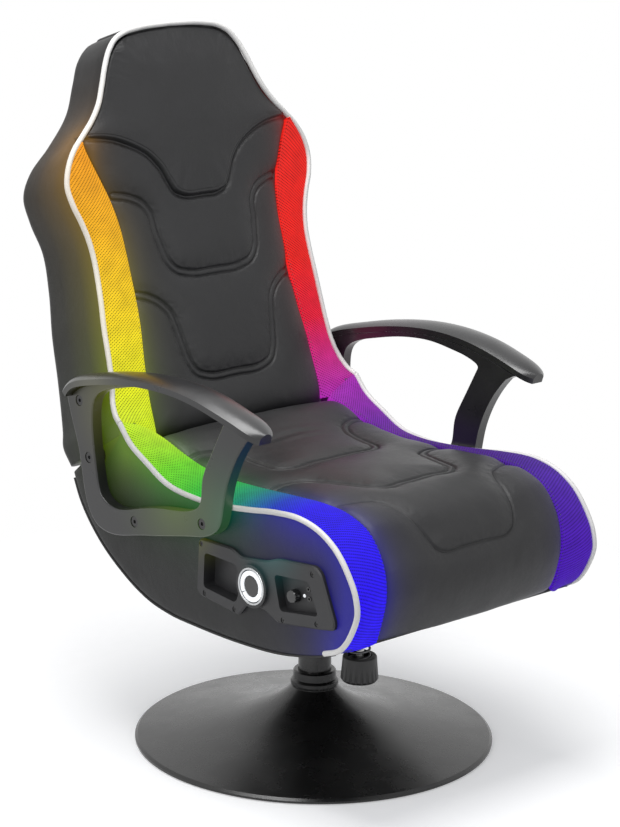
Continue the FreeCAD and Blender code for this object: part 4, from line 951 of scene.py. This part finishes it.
def add_tints(tree, shader, lamps):
    """Light of the strips on a rigid piece, as coloured spots that fade with distance."""
    place = place_of(tree)
    total = None
    for centre, reach, colour in lamps:
        gap = add(tree, "ShaderNodeVectorMath", operation="DISTANCE")
        wire(tree, place, gap.inputs[0])
        gap.inputs[1].default_value = centre
        share = span_of(tree, gap.outputs["Value"], 0, reach, 1, 0)
        share = math_of(tree, share, 2.0, "POWER")
        spot = add(tree, "ShaderNodeVectorMath", operation="SCALE")
        spot.inputs[0].default_value = colour
        wire(tree, share, spot.inputs["Scale"])
        if total is None:
            total = spot.outputs[0]
        else:
            both = add(tree, "ShaderNodeVectorMath", operation="ADD")
            wire(tree, total, both.inputs[0])
            wire(tree, spot.outputs[0], both.inputs[1])
            total = both.outputs[0]
    wire(tree, total, shader.inputs["Emission Color"])
    put(shader, Emission_Strength=1.0)


# Size of the leather's pebbles in metres
PEBBLE = 0.0019


def leather(name, dark, light, roughness, sheen=0.0):
    """Synthetic leather: pebbled grain, soft wear and slow changes of shine."""
    made, tree, shader = start_material(name)
    place = place_of(tree)
    slow = noise_of(tree, place, 0.05, 4)
    wire(tree, tint_of(tree, slow, dark, light), shader.inputs["Base Color"])
    shine = span_of(tree, slow, 0.25, 0.75, roughness - 0.05, roughness + 0.07)
    wire(tree, shine, shader.inputs["Roughness"])
    cells = add(tree, "ShaderNodeTexVoronoi", feature="DISTANCE_TO_EDGE")
    put(cells, Scale=1 / PEBBLE)
    wire(tree, place, cells.inputs["Vector"])
    grain = span_of(tree, cells.outputs["Distance"], 0, 0.12, 0, 1)
    crease = noise_of(tree, place, 0.012, 5, 0.6)
    height = math_of(tree, math_of(tree, grain, 0.25, "MULTIPLY"), math_of(tree, crease, 1.6, "MULTIPLY"))
    bump_of(tree, shader, height, 0.0006, 0.55)
    put(shader, Specular_IOR_Level=0.32, Sheen_Weight=sheen, Sheen_Roughness=0.5)
    add_glow(tree, shader)
    return made


def knit(name):
    """Lit knitted mesh: diagonal yarns with small dark holes between them."""
    made, tree, shader = start_material(name)
    uv = add(tree, "ShaderNodeUVMap").outputs["UV"]
    turned = add(tree, "ShaderNodeMapping")
    put(turned, Rotation=(0, 0, math.radians(38)))
    wire(tree, uv, turned.inputs["Vector"])
    parts = add(tree, "ShaderNodeSeparateXYZ")
    wire(tree, turned.outputs["Vector"], parts.inputs[0])
    waves = []
    for axis, size in (("X", 0.0031), ("Y", 0.0037)):
        phase = math_of(tree, parts.outputs[axis], 2 * math.pi / size, "MULTIPLY")
        wave = math_of(tree, math_of(tree, phase, 0.0, "SINE"), 0.5, "MULTIPLY")
        waves.append(math_of(tree, wave, 0.5))
    hole = math_of(tree, waves[0], waves[1], "MULTIPLY")
    yarn = span_of(tree, hole, 0.36, 0.74, 1, 0)
    rib = math_of(tree, math_of(tree, waves[0], 0.22, "MULTIPLY"), 0.84)
    slow = span_of(tree, noise_of(tree, place_of(tree), 0.02, 2), 0.3, 0.7, 0.88, 1.08)
    thread = span_of(tree, yarn, 0, 1, 0.16, 1)
    lit = math_of(tree, math_of(tree, thread, rib, "MULTIPLY"), slow, "MULTIPLY")
    glow = add(tree, "ShaderNodeVertexColor", layer_name="Glow")
    light = add(tree, "ShaderNodeVectorMath", operation="SCALE")
    wire(tree, glow.outputs["Color"], light.inputs[0])
    wire(tree, lit, light.inputs["Scale"])
    wire(tree, light.outputs[0], shader.inputs["Emission Color"])
    wire(tree, tint_of(tree, yarn, 0.002, 0.012), shader.inputs["Base Color"])
    put(shader, Emission_Strength=1.0, Roughness=0.85, Specular_IOR_Level=0.12)
    bump_of(tree, shader, math_of(tree, yarn, rib, "MULTIPLY"), 0.0008, 0.8)
    return made


def plain_surface(name, dark, light, roughness, grain, height, metal=0.0, coat=0.0, lamps=None):
    """Moulded, painted or metal surface with fine grain and slow changes of tone and shine."""
    made, tree, shader = start_material(name)
    place = place_of(tree)
    slow = noise_of(tree, place, 0.045, 4)
    fine = noise_of(tree, place, grain, 2)
    tone = math_of(tree, math_of(tree, slow, 0.6, "MULTIPLY"), math_of(tree, fine, 0.4, "MULTIPLY"))
    wire(tree, tint_of(tree, span_of(tree, tone, 0.3, 0.7, 0, 1), dark, light), shader.inputs["Base Color"])
    shine = span_of(tree, slow, 0.25, 0.75, roughness - 0.05, roughness + 0.06)
    wire(tree, shine, shader.inputs["Roughness"])
    bump_of(tree, shader, fine, height, 0.6)
    put(shader, Metallic=metal, Coat_Weight=coat, Coat_Roughness=0.3)
    if lamps:
        add_tints(tree, shader, lamps)
    return made


def lit_lens(name, colour, strength):
    made, tree, shader = start_material(name)
    place = place_of(tree)
    slow = noise_of(tree, place, 0.004, 2)
    wire(tree, tint_of(tree, slow, [0.9 * c for c in colour], colour), shader.inputs["Base Color"])
    wire(tree, tint_of(tree, slow, [0.85 * c for c in colour], colour), shader.inputs["Emission Color"])
    put(shader, Emission_Strength=strength, Roughness=0.35)
    return made


def wood(name):
    """Plywood: long grain in pale and brown bands."""
    made, tree, shader = start_material(name)
    place = place_of(tree)
    stretched = add(tree, "ShaderNodeMapping")
    put(stretched, Scale=(1, 0.08, 1))
    wire(tree, place, stretched.inputs["Vector"])
    bands = noise_of(tree, stretched.outputs["Vector"], 0.006, 4)
    wire(tree, tint_of(tree, bands, (0.30, 0.19, 0.10), (0.55, 0.38, 0.21)), shader.inputs["Base Color"])
    put(shader, Roughness=0.7)
    bump_of(tree, shader, bands, 0.0003)
    return made


# Light thrown on the armrests, panel and pipings: (place in metres, reach, colour)
ARM_LAMPS = [
    ((-0.245, 0.02, 0.40), 0.15, (0.05, 0.09, 0.00)),
    ((-0.24, 0.15, 0.50), 0.12, (0.10, 0.10, 0.01)),
    ((-0.236, -0.10, 0.40), 0.12, (0.01, 0.08, 0.03)),
    ((-0.236, -0.20, 0.36), 0.10, (0.00, 0.02, 0.16)),
    ((0.236, 0.10, 0.47), 0.14, (0.10, 0.01, 0.06)),
]
PANEL_LAMPS = [
    ((-0.235, 0.02, 0.385), 0.10, (0.20, 0.22, 0.01)),
    ((-0.235, -0.16, 0.385), 0.09, (0.00, 0.10, 0.10)),
]
PIPING_LAMPS = [
    ((-0.20, 0.33, 0.80), 0.20, (0.30, 0.18, 0.02)),
    ((-0.2, 0.25, 0.62), 0.20, (0.22, 0.16, 0.01)),
]

# (dark, light, roughness, size of the grain in metres, its height), and what else a surface has;
# a tone given as one number is a grey
PLAIN_SURFACES = {
    "white_piping": ((0.60, 0.59, 0.57), (0.72, 0.71, 0.69), 0.45, 0.003, 0.0002),
    "arm_plastic": ((0.009, 0.009, 0.010), (0.015, 0.015, 0.016), 0.30, 0.0012, 0.00008),
    "panel_plastic": ((0.009, 0.009, 0.010), (0.022, 0.022, 0.024), 0.5, 0.0010, 0.0001),
    "powder_coat": (0.003, 0.0045, 0.27, 0.0009, 0.00003),
    "black_rubber": (0.008, 0.014, 0.7, 0.002, 0.0002),
    "black_steel": ((0.012, 0.012, 0.013), (0.020, 0.020, 0.021), 0.36, 0.002, 0.0001),
    "nylon": ((0.55, 0.54, 0.50), (0.66, 0.65, 0.61), 0.5, 0.003, 0.0001),
    "zinc_steel": ((0.50, 0.50, 0.49), (0.66, 0.66, 0.65), 0.33, 0.002, 0.0001),
    "black_screws": (0.015, 0.03, 0.3, 0.001, 0.0001),
    "spring_steel": ((0.08, 0.08, 0.085), (0.14, 0.14, 0.15), 0.35, 0.002, 0.0001),
    "knob_plastic": (0.010, (0.020, 0.020, 0.021), 0.45, 0.0015, 0.0002),
    "speaker_parts": (0.012, 0.03, 0.6, 0.002, 0.0002),
    "amplifier_case": (0.02, 0.035, 0.5, 0.002, 0.0002),
    "silver_trim": ((0.48, 0.49, 0.50), (0.62, 0.63, 0.64), 0.28, 0.001, 0.00004),
    "gloss_button": (0.008, (0.014, 0.014, 0.015), 0.16, 0.004, 0.00003),
    "circuit": ((0.01, 0.06, 0.02), (0.02, 0.10, 0.03), 0.5, 0.002, 0.0001),
    "thread": ((0.05, 0.05, 0.052), (0.09, 0.09, 0.092), 0.6, 0.0008, 0.0001),
}
SURFACE_EXTRAS = {
    "white_piping": {"lamps": PIPING_LAMPS},
    "arm_plastic": {"lamps": ARM_LAMPS, "coat": 0.25},
    "panel_plastic": {"lamps": PANEL_LAMPS},
    "powder_coat": {"coat": 0.1},
    "zinc_steel": {"metal": 1.0},
    "spring_steel": {"metal": 0.8},
    "silver_trim": {"metal": 0.9},
    "gloss_button": {"coat": 0.5},
}


def make_materials():
    made = {
        "leatherette": leather("leatherette", (0.010, 0.010, 0.0105), (0.015, 0.015, 0.016), 0.42, 0.02),
        "boxing_leatherette": leather(
            "boxing_leatherette", (0.005, 0.005, 0.0055), (0.008, 0.008, 0.0085), 0.46
        ),
        "glowing_mesh": knit("glowing_mesh"),
        "plywood": wood("plywood"),
        "light_strip": lit_lens("light_strip", (0.9, 0.9, 0.9), 0.4),
        "white_lens": lit_lens("white_lens", (0.82, 0.84, 0.86), 0.55),
    }
    for name, values in PLAIN_SURFACES.items():
        made[name] = plain_surface(name, *values, **SURFACE_EXTRAS.get(name, {}))
    return made


def pair(stem):
    return [f"{stem}_left", f"{stem}_right"]


SLOT_NODES = {
    "powder_coat": ["base_disc", "base_collar", "column_tube"],
    "black_rubber": ["floor_ring", "tilt_stops"],
    "black_steel": ["base_socket", "tilt_bracket", "tilt_plate"],
    "nylon": ["swivel_bush", "thrust_washer"],
    "zinc_steel": ["retaining_bolt", "pivot_pin", "plate_bolts", "tension_stud"],
    "black_screws": ["panel_screws"] + pair("arm_bolts"),
    "spring_steel": ["tension_spring"],
    "knob_plastic": ["tension_knob"],
    "plywood": ["seat_floor_board", "seat_pan", "back_board"],
    "boxing_leatherette": pair("seat_side") + ["back_shell"],
    "leatherette": ["seat_cushion", "back_cushion", "head_pad"],
    "glowing_mesh": pair("seat_mesh") + pair("back_mesh"),
    "light_strip": pair("seat_lights") + pair("back_lights"),
    "white_piping": pair("seat_piping") + ["back_piping"],
    "speaker_parts": ["woofer"] + pair("speaker"),
    "amplifier_case": ["amplifier"],
    "arm_plastic": pair("arm_frame") + pair("arm_pad") + pair("arm_spacers"),
    "panel_plastic": ["panel_housing", "badge_base"],
    "silver_trim": ["badge_ring"],
    "white_lens": ["light_segments", "status_lens"],
    "gloss_button": ["power_button", "volume_knob", "audio_jacks"],
    "circuit": ["circuit_board"],
}


def dress(obj, materials, slot):
    obj.data.materials.clear()
    obj.data.materials.append(materials[slot])


def finish_piece(obj, materials, slot, replaced=(), finish=None):
    """Dresses a piece that rides on the seat; finish is its own material where the slot's isn't used."""
    dress(obj, materials, finish or slot)
    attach(obj, "seat")
    if replaced:
        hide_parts(*replaced)


def build_soft_forms(materials):
    covers = {"seat_cushion": seat_cushion, "back_cushion": back_cushion, "head_pad": head_pad}
    for node, build in covers.items():
        cover = build()
        finish_piece(cover, materials, "leatherette", [node])
    shell = back_shell()
    finish_piece(shell, materials, "boxing_leatherette", ["back_shell"])
    finish_piece(back_piping(), materials, "white_piping", ["back_piping"])
    finish_piece(floor_wrap(), materials, "boxing_leatherette", ["seat_floor_board"])
    for side, word in SIDE_NAMES.items():
        for part, build in (("back", back_strip), ("seat", seat_strip)):
            strip = build(side)
            finish_piece(strip, materials, "glowing_mesh", [f"{part}_mesh_{word}"])
        finish_piece(seat_piping(side), materials, "white_piping", [f"seat_piping_{word}"])
        finish_piece(seam_stitches(side), materials, "leatherette", finish="thread")
        finish_piece(belly_welt(side), materials, "leatherette", finish="black_rubber")
        finish_piece(back_stitches(side), materials, "leatherette", finish="thread")
        padding = seat_side(side)
        finish_piece(padding, materials, "boxing_leatherette", [f"seat_side_{word}"])


def finish_rigid_pieces(materials):
    for slot, nodes in SLOT_NODES.items():
        for name in nodes:
            dress(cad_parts[name], materials, slot)
    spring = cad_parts["tension_spring"]
    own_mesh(spring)


# Studio

# (name, place, aim, size in metres, watts)
STUDIO_LIGHTS = [
    ("overhead", (-0.3, 0.1, 2.6), (0, 0.1, 0.5), (1.4, 1.4), 50),
    ("left", (-2.4, -0.6, 1.6), (0, 0, 0.5), (1.2, 1.6), 26),
    ("front", (0.6, -2.8, 1.5), (0, 0, 0.6), (1.2, 1.0), 14),
]


def build_camera():
    azimuth, elevation, roll = (math.radians(v) for v in (CAMERA_AZIMUTH, CAMERA_ELEVATION, CAMERA_ROLL))
    right = Vector((math.cos(azimuth), math.sin(azimuth), 0))
    level = math.cos(elevation)
    back = Vector((math.sin(azimuth) * level, -math.cos(azimuth) * level, math.sin(elevation)))
    up = back.cross(right)
    turned_right = right * math.cos(roll) + up * math.sin(roll)
    turned_up = up * math.cos(roll) - right * math.sin(roll)
    data = bpy.data.cameras.new("camera")
    data.sensor_width = SENSOR
    data.lens = FOCAL_PIXELS / PICTURE_HEIGHT * SENSOR
    data.clip_start = 0.05
    data.clip_end = 60
    made = linked("camera", data)
    made.matrix_world = Matrix((
        (turned_right.x, turned_up.x, back.x, CAMERA_PLACE[0]),
        (turned_right.y, turned_up.y, back.y, CAMERA_PLACE[1]),
        (turned_right.z, turned_up.z, back.z, CAMERA_PLACE[2]),
        (0, 0, 0, 1),
    ))
    bpy.context.scene.camera = made


def area_light(name, place, target, size, power):
    data = bpy.data.lights.new(name, "AREA")
    data.shape = "RECTANGLE"
    data.size, data.size_y = size
    data.energy = power
    made = linked(name, data)
    made.location = place
    made.rotation_mode = "QUATERNION"
    made.rotation_quaternion = (Vector(target) - Vector(place)).to_track_quat("-Z", "Y")


def build_floor():
    """White floor that keeps the shadow near the chair and fades into the backdrop further out."""
    radius = 2400
    steps = 96
    turn = np.linspace(0, 2 * math.pi, steps, endpoint=False)
    points = np.column_stack([radius * np.cos(turn), radius * np.sin(turn), np.full(steps, -0.2)])
    made = make_object("floor", points, [list(range(steps))])
    floor, tree, shader = start_material("floor")
    place = place_of(tree)
    speckle = noise_of(tree, place, 0.02, 3)
    wire(tree, tint_of(tree, speckle, 0.86, 0.90), shader.inputs["Base Color"])
    put(shader, Roughness=0.55, Specular_IOR_Level=0.3)
    put(shader, Emission_Color=(1, 1, 1, 1), Emission_Strength=0.28)
    gap = add(tree, "ShaderNodeVectorMath", operation="LENGTH")
    wire(tree, place, gap.inputs[0])
    clear = add(tree, "ShaderNodeBsdfTransparent")
    mix = add(tree, "ShaderNodeMixShader")
    wire(tree, span_of(tree, gap.outputs["Value"], 0.34, 1.1, 0, 1), mix.inputs["Fac"])
    wire(tree, shader.outputs[0], mix.inputs[1])
    wire(tree, clear.outputs[0], mix.inputs[2])
    wire(tree, mix.outputs[0], tree.nodes["Material Output"].inputs["Surface"])
    made.data.materials.append(floor)


def build_backdrop():
    """White where the camera, glass or a reflection sees it, and a soft grey light on all else."""
    world = bpy.data.worlds.new("studio")
    bpy.context.scene.world = world
    world.use_nodes = True
    tree = world.node_tree
    tree.nodes.clear()
    path = add(tree, "ShaderNodeLightPath")
    seen = math_of(tree, path.outputs["Is Camera Ray"], path.outputs["Is Transmission Ray"], "MAXIMUM")
    seen = math_of(tree, seen, path.outputs["Is Glossy Ray"], "MAXIMUM")
    white = add(tree, "ShaderNodeBackground")
    put(white, Color=(1, 1, 1, 1))
    grey = add(tree, "ShaderNodeBackground")
    put(grey, Color=(0.9, 0.93, 1.0, 1), Strength=0.34)
    mix = add(tree, "ShaderNodeMixShader")
    wire(tree, seen, mix.inputs["Fac"])
    wire(tree, grey.outputs[0], mix.inputs[1])
    wire(tree, white.outputs[0], mix.inputs[2])
    output = add(tree, "ShaderNodeOutputWorld")
    wire(tree, mix.outputs[0], output.inputs["Surface"])


def build_studio():
    build_camera()
    build_floor()
    build_backdrop()
    for light in STUDIO_LIGHTS:
        area_light(*light)
    bpy.context.scene.view_settings.view_transform = "Standard"


material_set = make_materials()
finish_rigid_pieces(material_set)
build_soft_forms(material_set)
build_studio()
